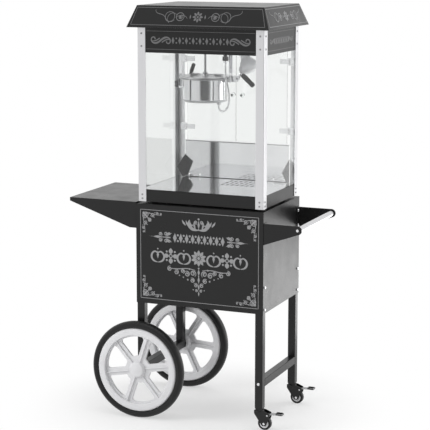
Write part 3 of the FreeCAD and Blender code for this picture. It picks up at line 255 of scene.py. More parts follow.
def make_brush_group():
    """Long fine lines of a brushed metal; a smaller stretch on an axis draws them out along it."""
    tree, ends_in, ends_out = new_group("brush", ["Stretch X", "Stretch Y", "Stretch Z"], ["Lines", "Smears"])
    place = add_node(tree, "TexCoord")
    stretch = add_node(tree, "CombineXYZ")
    scaled = tree.nodes.new("ShaderNodeVectorMath")
    scaled.operation = "MULTIPLY"
    lines = add_node(tree, "TexNoise", Scale=1.0, Detail=3.0, Roughness=0.6)
    smears = add_node(tree, "TexNoise", Scale=9.0, Detail=4.0)
    for axis in "XYZ":
        tree.links.new(ends_in.outputs["Stretch " + axis], stretch.inputs[axis])
    tree.links.new(place.outputs["Object"], scaled.inputs[0])
    tree.links.new(stretch.outputs["Vector"], scaled.inputs[1])
    tree.links.new(scaled.outputs["Vector"], lines.inputs["Vector"])
    tree.links.new(place.outputs["Object"], smears.inputs["Vector"])
    tree.links.new(lines.outputs["Fac"], ends_out.inputs["Lines"])
    tree.links.new(smears.outputs["Fac"], ends_out.inputs["Smears"])
    return tree


skin_group = make_skin_group()
brush_group = make_brush_group()


def new_finish(name, group, **group_inputs):
    """A material with a Principled shader and one pattern group beside it."""
    finish = bpy.data.materials.new(name)
    finish.use_nodes = True
    tree = finish.node_tree
    pattern = tree.nodes.new("ShaderNodeGroup")
    pattern.node_tree = group
    for socket, value in group_inputs.items():
        pattern.inputs[socket.replace("_", " ")].default_value = value
    return finish, tree, tree.nodes["Principled BSDF"], pattern


def vary_colour(tree, shader, mask, dark, light):
    """Base colour that moves between two greys or tints with a mask."""
    blend = tree.nodes.new("ShaderNodeMix")
    blend.data_type = "RGBA"
    blend.inputs["A"].default_value = (*dark, 1.0)
    blend.inputs["B"].default_value = (*light, 1.0)
    tree.links.new(mask, blend.inputs["Factor"])
    tree.links.new(blend.outputs["Result"], shader.inputs["Base Color"])


def vary_roughness(tree, shader, mask, low, high):
    """Roughness that moves between two values with a mask."""
    spread = add_node(tree, "MapRange", From_Min=NOISE_LOW, From_Max=NOISE_HIGH, To_Min=low, To_Max=high)
    tree.links.new(mask, spread.inputs["Value"])
    tree.links.new(spread.outputs["Result"], shader.inputs["Roughness"])


def raise_grain(tree, shader, mask, strength, depth):
    """A bump whose height is a mask."""
    bump = add_node(tree, "Bump", Strength=strength, Distance=depth)
    tree.links.new(mask, bump.inputs["Height"])
    tree.links.new(bump.outputs["Normal"], shader.inputs["Normal"])


def moulded(name, dark, light, rough, pitch, bump, metallic=0.0, specular=0.5, broad=14.0):
    """Paint, plastic or rubber: even colour with a mottle, and a grain that catches light."""
    finish, tree, shader, skin = new_finish(name, skin_group, Pitch=pitch, Broad=broad)
    vary_colour(tree, shader, skin.outputs["Mottle"], dark, light)
    vary_roughness(tree, shader, skin.outputs["Mottle"], *rough)
    raise_grain(tree, shader, skin.outputs["Grain"], bump, GRAIN_DEPTH)
    shader.inputs["Metallic"].default_value = metallic
    shader.inputs["Specular IOR Level"].default_value = specular
    return finish


def metal(name, dark, light, rough, stretch, bump):
    """Bare metal with drawn lines along its smallest stretch."""
    finish, tree, shader, brush = new_finish(
        name, brush_group, Stretch_X=stretch[0], Stretch_Y=stretch[1], Stretch_Z=stretch[2])
    vary_colour(tree, shader, brush.outputs["Smears"], dark, light)
    vary_roughness(tree, shader, brush.outputs["Lines"], *rough)
    raise_grain(tree, shader, brush.outputs["Lines"], bump, LINE_DEPTH)
    shader.inputs["Metallic"].default_value = 1.0
    return finish


def clear_pane(name, tint, ior):
    """Clear glass with faint wiping marks in its polish."""
    finish, tree, shader, skin = new_finish(name, skin_group, Pitch=120.0, Broad=7.0)
    vary_roughness(tree, shader, skin.outputs["Mottle"], 0.0, 0.03)
    shader.inputs["Base Color"].default_value = (*tint, 1.0)
    shader.inputs["IOR"].default_value = ior
    shader.inputs["Transmission Weight"].default_value = 1.0
    return finish


def grey(level):
    """A grey with a trace of blue."""
    return (level, level, level * 1.02)


black_coat = moulded("black_coat", grey(0.005), grey(0.007), (0.27, 0.35), 900.0, 0.08, specular=0.34)
print_ink = moulded("print_ink", grey(0.25), grey(0.30), (0.27, 0.35), 1500.0, 0.05)
# A darker copy of print_ink: painted shade for the print where it catches less light, on the header band and
# on the roof's front and back slopes
shaded_ink = moulded("shaded_ink", grey(0.11), grey(0.14), (0.27, 0.35), 1500.0, 0.05)
black_plastic = moulded("black_plastic", grey(0.011), grey(0.015), (0.42, 0.55), 1600.0, 0.12)
black_rubber = moulded("black_rubber", grey(0.012), grey(0.018), (0.65, 0.8), 1200.0, 0.2, specular=0.35)
tyre_rubber = moulded("tyre_rubber", grey(0.006), grey(0.010), (0.42, 0.52), 700.0, 0.12, specular=0.32)
silver_plastic = moulded("silver_plastic", grey(0.64), grey(0.71), (0.34, 0.44), 1300.0, 0.06)
white_plastic = moulded("white_plastic", grey(0.72), grey(0.78), (0.35, 0.45), 1300.0, 0.06)
lamp_opal = moulded("lamp_opal", grey(0.80), grey(0.86), (0.28, 0.36), 1400.0, 0.05)
motor_paint = moulded("motor_paint", grey(0.10), grey(0.13), (0.45, 0.6), 800.0, 0.12)
cast_alloy = moulded("cast_alloy", grey(0.42), grey(0.55), (0.38, 0.55), 500.0, 0.3, metallic=1.0)
post_aluminium = metal("post_aluminium", grey(0.66), grey(0.70), (0.26, 0.40), (1400.0, 1400.0, 12.0), 0.10)
bar_steel = metal("bar_steel", grey(0.58), grey(0.66), (0.16, 0.26), (1200.0, 14.0, 1200.0), 0.08)
deck_steel = metal("deck_steel", grey(0.72), grey(0.78), (0.05, 0.09), (10.0, 900.0, 900.0), 0.05)
kettle_steel = metal("kettle_steel", grey(0.60), grey(0.68), (0.04, 0.08), (30.0, 30.0, 1200.0), 0.004)
dark_steel = metal("dark_steel", grey(0.26), grey(0.36), (0.25, 0.36), (500.0, 500.0, 500.0), 0.05)
bright_zinc = metal("bright_zinc", grey(0.70), grey(0.80), (0.18, 0.30), (500.0, 500.0, 500.0), 0.05)
conduit_steel = metal("conduit_steel", grey(0.52), grey(0.62), (0.22, 0.34), (600.0, 600.0, 600.0), 0.06)
pane_edge = moulded("pane_edge", grey(0.05), grey(0.09), (0.2, 0.3), 900.0, 0.02)
pane_glass = clear_pane("pane_glass", (0.93, 0.94, 0.935), 1.46)


# Cart: folded sheet, square tube and the push handle
SHEET = 1.5 * MM
FOLD = 0.7 * MM          # outside radius of a fold in the sheet
TUBE = 30 * MM
TUBE_WALL = 2 * MM
TUBE_CORNER = 3.0 * MM
BRACE_HEIGHT = 160 * MM


def make_front_panel():
    """One flat sheet with rounded edges."""
    skin = soften(block(*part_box("cart_front_panel")), FOLD)
    piece("front_panel", skin, black_coat, stands_for=["cart_front_panel"])


def make_side_panels():
    """Each side is one folded sheet with a return round its rear edge."""
    low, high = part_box("cart_side_panels")
    fold_in = 20 * MM
    middle = (low.x + high.x) / 2
    half = (high.x - low.x) / 2
    outline = [(half, low.y), (half, high.y), (half - fold_in, high.y), (half - fold_in, high.y - SHEET),
               (half - SHEET, high.y - SHEET), (half - SHEET, low.y)]
    sides = []
    for side in (0, 1):
        sheet = slab([(x, y, low.z) for x, y in outline], (0, 0, high.z - low.z))
        soften(sheet, FOLD)
        if side:
            flipped(sheet, 0)
        sides.append(placed(sheet, (middle, 0, 0)))
    piece("side_panels", together(*sides), black_coat, stands_for=["cart_side_panels"])


def square_tube(low, high, along):
    """A square tube with rounded corners and open ends, lengthwise on an axis."""
    bm = block(low, high)
    runs = [e for e in bm.edges if abs((e.verts[0].co - e.verts[1].co).normalized()[along]) > 0.9]
    bmesh.ops.bevel(bm, geom=runs, offset=TUBE_CORNER, offset_type="OFFSET", segments=4, profile=0.5,
                    affect="EDGES", material=-1)
    ends = [f for f in bm.faces if abs(f.normal[along]) > 0.9]
    bmesh.ops.inset_individual(bm, faces=ends, thickness=TUBE_WALL, use_even_offset=True)
    for face in ends:
        sunk = bmesh.ops.extrude_face_region(bm, geom=[face])["geom"]
        bmesh.ops.translate(bm, vec=-face.normal * 4 * TUBE_WALL,
                            verts=[v for v in sunk if isinstance(v, bmesh.types.BMVert)])
        bmesh.ops.delete(bm, geom=[face], context="FACES_ONLY")
    bmesh.ops.recalc_face_normals(bm, faces=bm.faces[:])
    return bm


def make_legs():
    """Four legs, the brace of the right pair and the beam that carries the axle."""
    low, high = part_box("cart_legs")
    tube_low, tube_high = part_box("cross_tubes")
    axle = middle_of("wheel_axle")
    legs = []
    for y in (low.y, high.y - TUBE):
        legs.append(square_tube((low.x, y, axle.z + TUBE / 2), (low.x + TUBE, y + TUBE, high.z), 2))
        legs.append(square_tube((high.x - TUBE, y, low.z), (high.x, y + TUBE, high.z), 2))
    piece("leg_tubes", together(*legs), black_coat, stands_for=["cart_legs"])
    brace = square_tube((high.x - TUBE, low.y + TUBE, BRACE_HEIGHT),
                        (high.x, high.y - TUBE, BRACE_HEIGHT + TUBE), 1)
    beam = square_tube((low.x, tube_low.y, axle.z - TUBE / 2),
                       (low.x + TUBE, tube_high.y, axle.z + TUBE / 2), 1)
    piece("cross_members", together(brace, beam), black_coat, stands_for=["cross_tubes"])


def make_side_shelf():
    """One folded tray: top, lip and back in a run, with a gusset welded in at each end."""
    low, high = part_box("side_shelf")
    lip = 13.5 * MM
    foot = 27 * MM
    fold = [(high.x, low.z), (high.x, high.z), (low.x, high.z), (low.x, high.z - lip),
            (low.x + SHEET, high.z - lip), (low.x + SHEET, high.z - SHEET),
            (high.x - SHEET, high.z - SHEET), (high.x - SHEET, low.z)]
    tray = slab([(x, low.y, z) for x, z in fold], (0, high.y - low.y, 0))
    soften(tray, FOLD, 3)
    gusset = [(high.x, high.z - FOLD), (low.x, high.z - FOLD), (low.x, high.z - lip),
              (high.x - foot, low.z), (high.x, low.z)]
    ends = []
    for y, push in ((low.y, SHEET), (high.y, -SHEET)):
        plate = slab([(x, y, z) for x, z in gusset], (0, push, 0))
        ends.append(soften(plate, FOLD))
    piece("shelf_tray", together(tray, *ends), black_coat, stands_for=["side_shelf"])


def make_handle():
    """Two cranked arms with rounded tips, and the bright bar between them."""
    low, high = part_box("handle_arms")
    bar_low, bar_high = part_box("handle_bar")
    tip = (bar_low + bar_high) / 2
    reach = high.x - tip.x
    sheet = 2.5 * MM
    flange = 34 * MM
    foot = Vector((low.x, low.z))
    line = Vector((tip.x, tip.z)) - foot
    slope = math.atan2(line.y, line.x) - math.asin(reach / line.length)
    turn = 12
    outline = [(low.x, low.z)]
    for step in range(turn + 1):
        angle = slope - math.pi / 2 + (math.pi - slope) * step / turn
        outline.append((tip.x + reach * math.cos(angle), tip.z + reach * math.sin(angle)))
    outline.append((low.x, high.z))
    arms = []
    for y, push in ((low.y, 1), (high.y, -1)):
        web = slab([(x, y, z) for x, z in outline], (0, push * sheet, 0))
        corner = Vector((low.x, min(y, y + push * flange), low.z))
        foot_plate = block(corner, (low.x + sheet, corner.y + flange, high.z))
        arms += [soften(web, FOLD), soften(foot_plate, FOLD)]
    piece("handle_arms_bent", together(*arms), black_coat, stands_for=["handle_arms"])
    radius = (bar_high.z - bar_low.z) / 2
    half = (bar_high.y - bar_low.y) / 2
    rod = turned([(0, -half), (radius, -half), (radius, half), (0, half)])
    placed(soften(rod, FOLD), tip, Y_AXIS)
    piece("push_bar", rod, bar_steel, stands_for=["handle_bar"])


make_front_panel()
make_side_panels()
make_legs()
make_side_shelf()
make_handle()


# Wheels
SPOKES = 6
SPOKE_WIDTH = 30 * MM
WINDOW_CORNER = 10 * MM
WINDOW_IN = 52 * MM
WEB_THICK = 10 * MM
RIDGE = 4.5 * MM         # half the width of the ridge along a spoke, at its foot
HUB_RADIUS = 30 * MM
HUB_FLARE = 3 * MM
BEARING = HUB_RADIUS * 0.55
RIM_DEPTH = 27 * MM
RIM_FACE = 17 * MM
RIM_STEP = 3 * MM
FRONT_SPOKES_AT = math.radians(11)
REAR_SPOKES_AT = math.radians(-4)


def rounded(corners, arc_steps=5):
    """An outline of (u, v, radius) corners with each corner turned into an arc."""
    points = []
    for i, (u, v, radius) in enumerate(corners):
        here = Vector((u, v))
        if not radius:
            points.append(here)
            continue
        back = (Vector(corners[i - 1][:2]) - here).normalized()
        ahead = (Vector(corners[(i + 1) % len(corners)][:2]) - here).normalized()
        half = back.angle(ahead) / 2
        centre = here + (back + ahead).normalized() * (radius / math.sin(half))
        start = here + back * (radius / math.tan(half)) - centre
        sweep = start.angle_signed(here + ahead * (radius / math.tan(half)) - centre)
        for step in range(arc_steps + 1):
            points.append(centre + Matrix.Rotation(-sweep * step / arc_steps, 2) @ start)
    return points


def pressed_plate(outlines, thickness, edge):
    """A plate in XY from closed outlines, the inner ones holes, with rounded edges and its middle at Z 0."""
    curve = bpy.data.curves.new("plate", "CURVE")
    curve.dimensions = "2D"
    curve.fill_mode = "BOTH"
    curve.extrude = thickness / 2 - edge
    curve.bevel_depth = edge
    curve.bevel_resolution = 2
    curve.offset = -edge
    for outline in outlines:
        line = new_line(curve, [(u, v, 0) for u, v in outline])
        line.use_cyclic_u = True
    bm = curve_shape(curve)
    bmesh.ops.remove_doubles(bm, verts=bm.verts[:], dist=MERGE)
    return bm


def circle(radius, steps):
    """Points round a circle."""
    return [Vector((radius * math.cos(math.tau * i / steps), radius * math.sin(math.tau * i / steps)))
            for i in range(steps)]


def closed_outline(side):
    """One side's (radius, height) points and their mirror through height 0, as a closed outline."""
    return side + [(radius, -height) for radius, height in reversed(side)] + side[:1]


def spoke_window(inner, outer):
    """The opening between two spokes: straight along the spokes, round along hub and rim."""
    half = math.pi / SPOKES
    low = half - math.asin(SPOKE_WIDTH / 2 / inner)
    high = half - math.asin(SPOKE_WIDTH / 2 / outer)
    bends = 8
    corners = []
    for i in range(bends + 1):
        angle = -high + 2 * high * i / bends
        corner = WINDOW_CORNER if i in (0, bends) else 0
        corners.append((outer * math.cos(angle), outer * math.sin(angle), corner))
    for i in range(3):
        angle = low - low * i
        corner = WINDOW_CORNER * 0.7 if i != 1 else 0
        corners.append((inner * math.cos(angle), inner * math.sin(angle), corner))
    return rounded(corners)


def wheel_rim(flange, bead):
    """The ring under the tyre, with a raised face on each side."""
    raised = -RIM_FACE - RIM_STEP / 2
    side = [(flange, -RIM_FACE), (flange + RIM_STEP, raised), (bead - 2 * RIM_STEP, raised),
            (bead - RIM_STEP, -RIM_FACE), (bead, -RIM_FACE + RIM_STEP)]
    return soften(turned(closed_outline(side), 120), 0.8 * MM)


def wheel_web(flange):
    """The pressed web, open between the spokes."""
    windows = []
    for spoke in range(SPOKES):
        turn = Matrix.Rotation(math.tau * (spoke + 0.5) / SPOKES, 2)
        windows.append([turn @ point for point in spoke_window(WINDOW_IN, flange - 6 * MM)])
    return pressed_plate([circle(flange + RIM_STEP, 120), *windows], WEB_THICK, 2 * MM)


def spoke_ridge(flange, spoke, side):
    """A ridge that narrows upwards, along one spoke on one side of the web."""
    start = HUB_RADIUS - RIDGE
    end = flange + RIDGE
    ridge = slab([(start, -RIDGE, 0), (end, -RIDGE, 0), (end, RIDGE, 0), (start, RIDGE, 0)],
                 (0, 0, WEB_THICK / 2 + 7 * MM))
    top = [v for v in ridge.verts if v.co.z > 0]
    bmesh.ops.scale(ridge, vec=(1, 0.25, 1), verts=top)
    soften(ridge, 1.0 * MM)
    if side < 0:
        ridge.transform(Matrix.Rotation(math.pi, 4, "X"))
    return placed(ridge, spin=math.tau * spoke / SPOKES)


def wheel_hub(half):
    """A flared hub, domed outside, with a dark bearing sunk in its inner end."""
    outer = half + 2 * MM
    inner = -half - 5 * MM
    sunk = inner + 4 * MM
    hub = turned([(0, outer), (BEARING, outer - 0.6 * MM), (HUB_RADIUS - 4 * MM, outer - 3 * MM),
                  (HUB_RADIUS, outer - 8 * MM), (HUB_RADIUS + HUB_FLARE, WEB_THICK / 2),
                  (HUB_RADIUS + HUB_FLARE, -WEB_THICK / 2), (HUB_RADIUS, -half),
                  (HUB_RADIUS - 5 * MM, inner), (BEARING, inner), (BEARING, sunk), (0, sunk)])
    for face in hub.faces:
        at = face.calc_center_median()
        if at.z < 0 and at.xy.length < BEARING + MM / 10:
            face.material_index = 1
    return hub


def tyre_section(bead, radius, half):
    """The tyre's outline: seat, bulged wall with its mould lines, shoulder and tread."""
    wall = [(bead + 0.2 * MM, 0), (bead + 0.2 * MM, 0.62), (bead + 2.5 * MM, 0.80), (bead + 5 * MM, 0.90),
            (bead + 6 * MM, 0.93), (bead + 7 * MM, 0.93), (bead + 12 * MM, 1.0), (bead + 16 * MM, 0.97),
            (radius - 6.5 * MM, 0.86), (radius - 5.5 * MM, 0.80), (radius - 2 * MM, 0.62),
            (radius - 0.5 * MM, 0.36), (radius, 0.16), (radius, 0)]
    outline = [(r, half * share) for r, share in wall]
    return outline + [(r, -half * share) for r, share in reversed(wall[1:-1])] + outline[:1]


def make_wheel(end, outward, spoke_angle):
    """A moulded spoked wheel and its tyre, facing outward along Y."""
    body = end + "_wheel"
    rim_low, rim_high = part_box(body + "_rim")
    tyre_low, tyre_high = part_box(body + "_tyre")
    centre = (tyre_low + tyre_high) / 2
    radius = (tyre_high.z - tyre_low.z) / 2
    half = (tyre_high.y - tyre_low.y) / 2
    bead = (rim_high.z - rim_low.z) / 2
    flange = bead - RIM_DEPTH
    lean = Y_AXIS * outward
    ridges = [spoke_ridge(flange, spoke, side) for spoke in range(SPOKES) for side in (-1, 1)]
    wheel = together(wheel_rim(flange, bead), wheel_web(flange), *ridges, wheel_hub(half))
    placed(wheel, centre, lean)
    turn = Matrix.Translation(centre) @ Matrix.Rotation(-spoke_angle, 4, "Y") @ Matrix.Translation(-centre)
    wheel.transform(turn)
    spokes = piece(body + "_spokes", wheel, silver_plastic, body, [body + "_rim"], 35)
    spokes.data.materials.append(black_plastic)
    tyre = placed(turned(tyre_section(bead, radius, half), 128), centre, lean)
    piece(body + "_tread", tyre, tyre_rubber, body, [body + "_tyre"], 60)


make_wheel("front", -1, FRONT_SPOKES_AT)
make_wheel("rear", 1, REAR_SPOKES_AT)


# Casters
SWIVEL_BACK = 21 * MM
PIN_BACK = 34 * MM
PIN_HEIGHT = 58 * MM
CROWN_LOW = 66.5 * MM
CROWN_TOP = 75.5 * MM
CROWN_RADIUS = 17.5 * MM
CHEEK_IN = 11.5 * MM
CHEEK_SHEET = 2.5 * MM
PAD_LENGTH = 25.7 * MM
PAD_LOW = 62.4 * MM


def rivet(radius, height):
    """A domed head on the XY plane."""
    return turned([(0, -height), (radius, -height), (radius, height * 0.35), (radius * 0.7, height * 0.85),
                   (0, height)], 24)


def make_fork(end):
    """Crown, two cheeks and their rivets."""
    axle = middle_of(end + "_caster_wheel")
    swivel = Vector((axle.x - SWIVEL_BACK, axle.y, 0))
    body = end + "_caster"
    side = 8 * MM
    skirt = rounded([(-CROWN_RADIUS, CROWN_TOP, 2 * MM), (-CROWN_RADIUS, 62 * MM, 4 * MM),
                     (SWIVEL_BACK - side, axle.z - side, side * 0.9),
                     (SWIVEL_BACK + side, axle.z - side, side * 0.9),
                     (PIN_BACK + side, PIN_HEIGHT - side, 6 * MM),
                     (PIN_BACK + side, PIN_HEIGHT + side, 5 * MM),
                     (CROWN_RADIUS, CROWN_TOP, 3 * MM)])
    crown = turned([(0, CROWN_LOW), (CROWN_RADIUS - 2 * MM, CROWN_LOW), (CROWN_RADIUS, CROWN_LOW + 2 * MM),
                    (CROWN_RADIUS, CROWN_TOP - 3 * MM), (CROWN_RADIUS - 1 * MM, CROWN_TOP - 1 * MM),
                    (CROWN_RADIUS - 3 * MM, CROWN_TOP), (0, CROWN_TOP)])
    shapes = [placed(crown, swivel)]
    heads = []
    for out in (-1, 1):
        middle = out * (CHEEK_IN + CHEEK_SHEET / 2)
        cheek = pressed_plate([skirt], CHEEK_SHEET, 0.5 * MM)
        shapes.append(placed(cheek, swivel + Y_AXIS * middle, -Y_AXIS))
        face = swivel + Y_AXIS * out * (CHEEK_IN + CHEEK_SHEET)
        for head, back, height in ((rivet(4.4 * MM, 2.2 * MM), SWIVEL_BACK, axle.z),
                                   (rivet(2.9 * MM, 1.4 * MM), PIN_BACK, PIN_HEIGHT)):
            heads.append(placed(head, face + Vector((back, 0, height)), Y_AXIS * out))
    piece(body + "_cheeks", together(*shapes), black_coat, body, (body + "_fork",))
    piece(body + "_rivets", together(*heads), bright_zinc, body)


def make_roller(end):
    """Tread, pale ring and hub of a caster's wheel."""
    low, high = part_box(end + "_caster_wheel")
    axle = (low + high) / 2
    roller = end + "_caster_roller"
    radius = (high.z - low.z) / 2
    half = (high.y - low.y) / 2
    side = [(4.3 * MM, -half + 1 * MM), (17 * MM, -half + 1 * MM), (18 * MM, -half),
            (radius - 3.3 * MM, -half), (radius - 1 * MM, -half + 1.2 * MM), (radius, -half + 3.6 * MM)]
    tread = placed(turned(closed_outline(side)), axle, Y_AXIS)
    piece(roller + "_tread", tread, tyre_rubber, roller, (end + "_caster_wheel",))
    ring_outline = [(13 * MM, 0), (16.8 * MM, 0), (16.8 * MM, 0.7 * MM), (15 * MM, 1.4 * MM),
                    (13 * MM, 0.7 * MM), (13 * MM, 0)]
    hub_outline = [(4.5 * MM, 0), (12.6 * MM, 0), (11.5 * MM, 1 * MM), (6 * MM, 1.3 * MM),
                   (4.5 * MM, 1.3 * MM), (4.5 * MM, 0)]
    sunk = half - 1.2 * MM
    for name, outline, finish in (("_ring", ring_outline, white_plastic),
                                  ("_hub", hub_outline, silver_plastic)):
        sides = [placed(turned(outline), axle + Y_AXIS * out * sunk, Y_AXIS * out) for out in (-1, 1)]
        piece(roller + name, together(*sides), finish, roller)


def make_pedal(end, pad_finish):
    """Steel brake pedal with a pad on its end."""
    low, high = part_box(end + "_brake_pedal")
    pad = block((high.x - PAD_LENGTH, low.y, PAD_LOW), high)
    dress(dark_steel, end + "_brake_pedal")
    piece(end + "_pedal_pad", soften(pad, 1.4 * MM, 3), pad_finish, end + "_brake")


for caster, pad_colour in (("front", black_plastic), ("rear", dark_steel)):
    make_fork(caster)
    make_roller(caster)
    make_pedal(caster, pad_colour)


# Machine case
POST_FLANGE = 32 * MM
POST_WALL = 2 * MM
ROOF_RIM = 1.5 * MM
ROOF_INSET = 30 * MM
FLAP_FACE = 175.5 * MM   # the inner face of the serving flap, from the middle


def make_posts():
    """Four angle posts with a rounded outer corner."""
    low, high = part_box("corner_posts")
    angle = rounded([(0, 0, 2.5 * MM), (POST_FLANGE, 0, 0), (POST_FLANGE, POST_WALL, 0),
                     (POST_WALL, POST_WALL, 1 * MM), (POST_WALL, POST_FLANGE, 0), (0, POST_FLANGE, 0)])
    posts = []
    for right in (False, True):
        for back in (False, True):
            post = soften(slab([(u, v, 0) for u, v in angle], Z_AXIS * (high.z - low.z)), 0.35 * MM)
            if right:
                flipped(post, 0)
            if back:
                flipped(post, 1)
            posts.append(placed(post, (high.x if right else low.x, high.y if back else low.y, low.z)))
    piece("angle_posts", together(*posts), post_aluminium, stands_for=("corner_posts",))


def make_roof():
    """A sloping hood on a thin rim."""
    low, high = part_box("roof_canopy")
    hood = block(low, high)
    middle = (low + high) / 2
    uprights = [e for e in hood.edges if abs(e.verts[0].co.z - e.verts[1].co.z) > MM]
    bmesh.ops.subdivide_edges(hood, edges=uprights, cuts=1)
    for corner in hood.verts:
        if corner.co.z > high.z - MM:
            corner.co.x -= math.copysign(ROOF_INSET, corner.co.x - middle.x)
            corner.co.y -= math.copysign(ROOF_INSET, corner.co.y - middle.y)
        elif corner.co.z > low.z + MM:
            corner.co.z = low.z + ROOF_RIM
    piece("roof_hood", soften(hood, 1.2 * MM, 3, 12), black_coat, stands_for=("roof_canopy",))


def make_flap_edges():
    """A folded hem along the top of the serving flap, in dark steel as painted shade along its fold, and a
    dark strip where it meets the deck, painted shade for the gap there.
    """
    low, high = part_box("serving_flap")
    hem = block((low.x + MM, FLAP_FACE - 2.4 * MM, high.z - 4 * MM), (high.x - MM, FLAP_FACE + MM, high.z))
    # The hem is a darker copy of the flap's steel: painted shade along the fold
    piece("flap_hem", soften(hem, 1.1 * MM, 3), dark_steel, "flap")
    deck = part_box("deck_plate")[1].z
    # A black strip laid on the deck: painted shade for the gap where the flap meets it
    shade_strip = block((low.x + 2 * MM, FLAP_FACE - 4 * MM, deck - MM),
                 (high.x - 2 * MM, FLAP_FACE - 2 * MM, deck + 1.6 * MM))
    piece("deck_gap_shade", soften(shade_strip, 0.4 * MM), black_rubber)


make_posts()
make_roof()
make_flap_edges()


# Kettle, lamp and lead
KETTLE_LOW, KETTLE_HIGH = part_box("kettle_heater")
KETTLE_AXIS = Vector(((KETTLE_LOW.x + KETTLE_HIGH.x) / 2, 0, 0))
POT_RADIUS = 83.5 * MM
POT_WALL = 1.5 * MM
POT_FLOOR = 1200 * MM
BRIM_LOW = 1278 * MM
BRIM_TOP = 1285 * MM
BRIM_RADIUS = 99 * MM
TILT_HEIGHT = 1280 * MM
TRUNNION = 5 * MM
LID_GRIP_FOOT = KETTLE_AXIS + Vector((-73 * MM, 27 * MM, 1287.3 * MM))
LID_GRIP_LEAN = math.radians(20)
TILT_GRIP_BEND = Vector((152.5 * MM, 0, TILT_HEIGHT + 23 * MM))
TILT_GRIP_DROP = math.radians(42)
NUT_LOW = 1349 * MM
NUT_TOP = 1365 * MM
LEAD_DIAMETER = 7.5 * MM
LEAD_RIB = 3 * MM
LEAD_ROUTE = [(109, -40, 1337), (109, -40, 1305), (114, -40.5, 1272), (123, -40, 1240), (125, -39, 1209),
              (121, -38, 1183), (109, -35, 1165), (91, -32, 1158), (78, -30, 1168), (78, -30, 1183.8)]
LEAD_END = LEAD_ROUTE[-1]
GROOVE = 0.84            # share of the lead's width between two ribs
LAMP_TILT = math.radians(24)


def make_pot():
    """Spun pot with a rolled brim, trunnion blocks and pins."""
    inner = POT_RADIUS - POT_WALL
    edge = 2 * MM
    wall = turned([(0, POT_FLOOR), (POT_RADIUS - edge, POT_FLOOR),
                   (POT_RADIUS - edge / 3, POT_FLOOR + edge / 3), (POT_RADIUS, POT_FLOOR + edge),
                   (POT_RADIUS, BRIM_LOW + edge), (inner, BRIM_LOW + edge),
                   (inner, POT_FLOOR + POT_WALL), (0, POT_FLOOR + POT_WALL)], 128)
    brim = turned([(inner, BRIM_LOW + edge), (POT_RADIUS, BRIM_LOW + edge), (POT_RADIUS, BRIM_LOW - edge),
                   (POT_RADIUS + edge / 3, BRIM_LOW - edge / 3), (POT_RADIUS + edge, BRIM_LOW),
                   (BRIM_RADIUS - edge, BRIM_LOW), (BRIM_RADIUS - edge / 3, BRIM_LOW + edge / 3),
                   (BRIM_RADIUS, BRIM_LOW + edge), (BRIM_RADIUS, BRIM_TOP - edge),
                   (BRIM_RADIUS - edge / 3, BRIM_TOP - edge / 3), (BRIM_RADIUS - edge, BRIM_TOP),
                   (inner + edge, BRIM_TOP), (inner, BRIM_TOP - edge), (inner, BRIM_LOW + edge)], 128)
    piece("kettle_brim", placed(brim, KETTLE_AXIS), dark_steel, "kettle")
    low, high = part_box("kettle_pot")
    half = 14 * MM
    right_block = soften(block((KETTLE_AXIS.x + inner + MM, -half, BRIM_TOP - 18 * MM),
                               (KETTLE_AXIS.x + BRIM_RADIUS, half, BRIM_TOP - 0.2 * MM)), 1.5 * MM, 3)
    left_block = soften(block((KETTLE_AXIS.x - BRIM_RADIUS, -half, BRIM_TOP - 40 * MM),
                              (KETTLE_AXIS.x - inner - MM, half, BRIM_TOP - 0.2 * MM)), 1.5 * MM, 3)
    right = KETTLE_AXIS.x + POT_RADIUS
    right_pin = turned([(0, 0), (TRUNNION, 0), (TRUNNION, high.x - right - MM),
                        (TRUNNION - MM, high.x - right), (0, high.x - right)], 32)
    left = KETTLE_AXIS.x - BRIM_RADIUS
    reach = left - low.x
    collar = TRUNNION + 3 * MM
    left_pin = turned([(0, 0), (TRUNNION, 0), (TRUNNION, reach - 3 * MM), (collar, reach - 3 * MM),
                       (collar, reach - 0.8 * MM), (collar - 0.8 * MM, reach), (0, reach)], 32)
    piece("kettle_shell", together(placed(wall, KETTLE_AXIS), right_block, left_block,
                                   placed(right_pin, (right, 0, TILT_HEIGHT), X_AXIS),
                                   placed(left_pin, (left, 0, TILT_HEIGHT), -X_AXIS)),
          kettle_steel, "kettle", ("kettle_pot",))


def make_heater():
    """Cast pan with a bead round it and the lead's boss below."""
    low, high = KETTLE_LOW, KETTLE_HIGH
    base = high.z - 8 * MM
    pan = turned([(0, base), (POT_RADIUS - 3 * MM, base), (POT_RADIUS - MM, base + MM),
                  (POT_RADIUS, base + 3 * MM), (POT_RADIUS, high.z - 2.4 * MM),
                  (POT_RADIUS - 1.2 * MM, high.z - 1.6 * MM),
                  (POT_RADIUS - 1.2 * MM, high.z), (0, high.z)], 128)
    boss = turned([(0, 0), (7 * MM, 0), (8 * MM, MM), (8 * MM, 8 * MM), (0, 8 * MM)], 6)
    placed(boss, (LEAD_END[0] * MM, LEAD_END[1] * MM, low.z))
    piece("heater_pan", together(placed(pan, KETTLE_AXIS), boss), cast_alloy, "kettle", ("kettle_heater",))


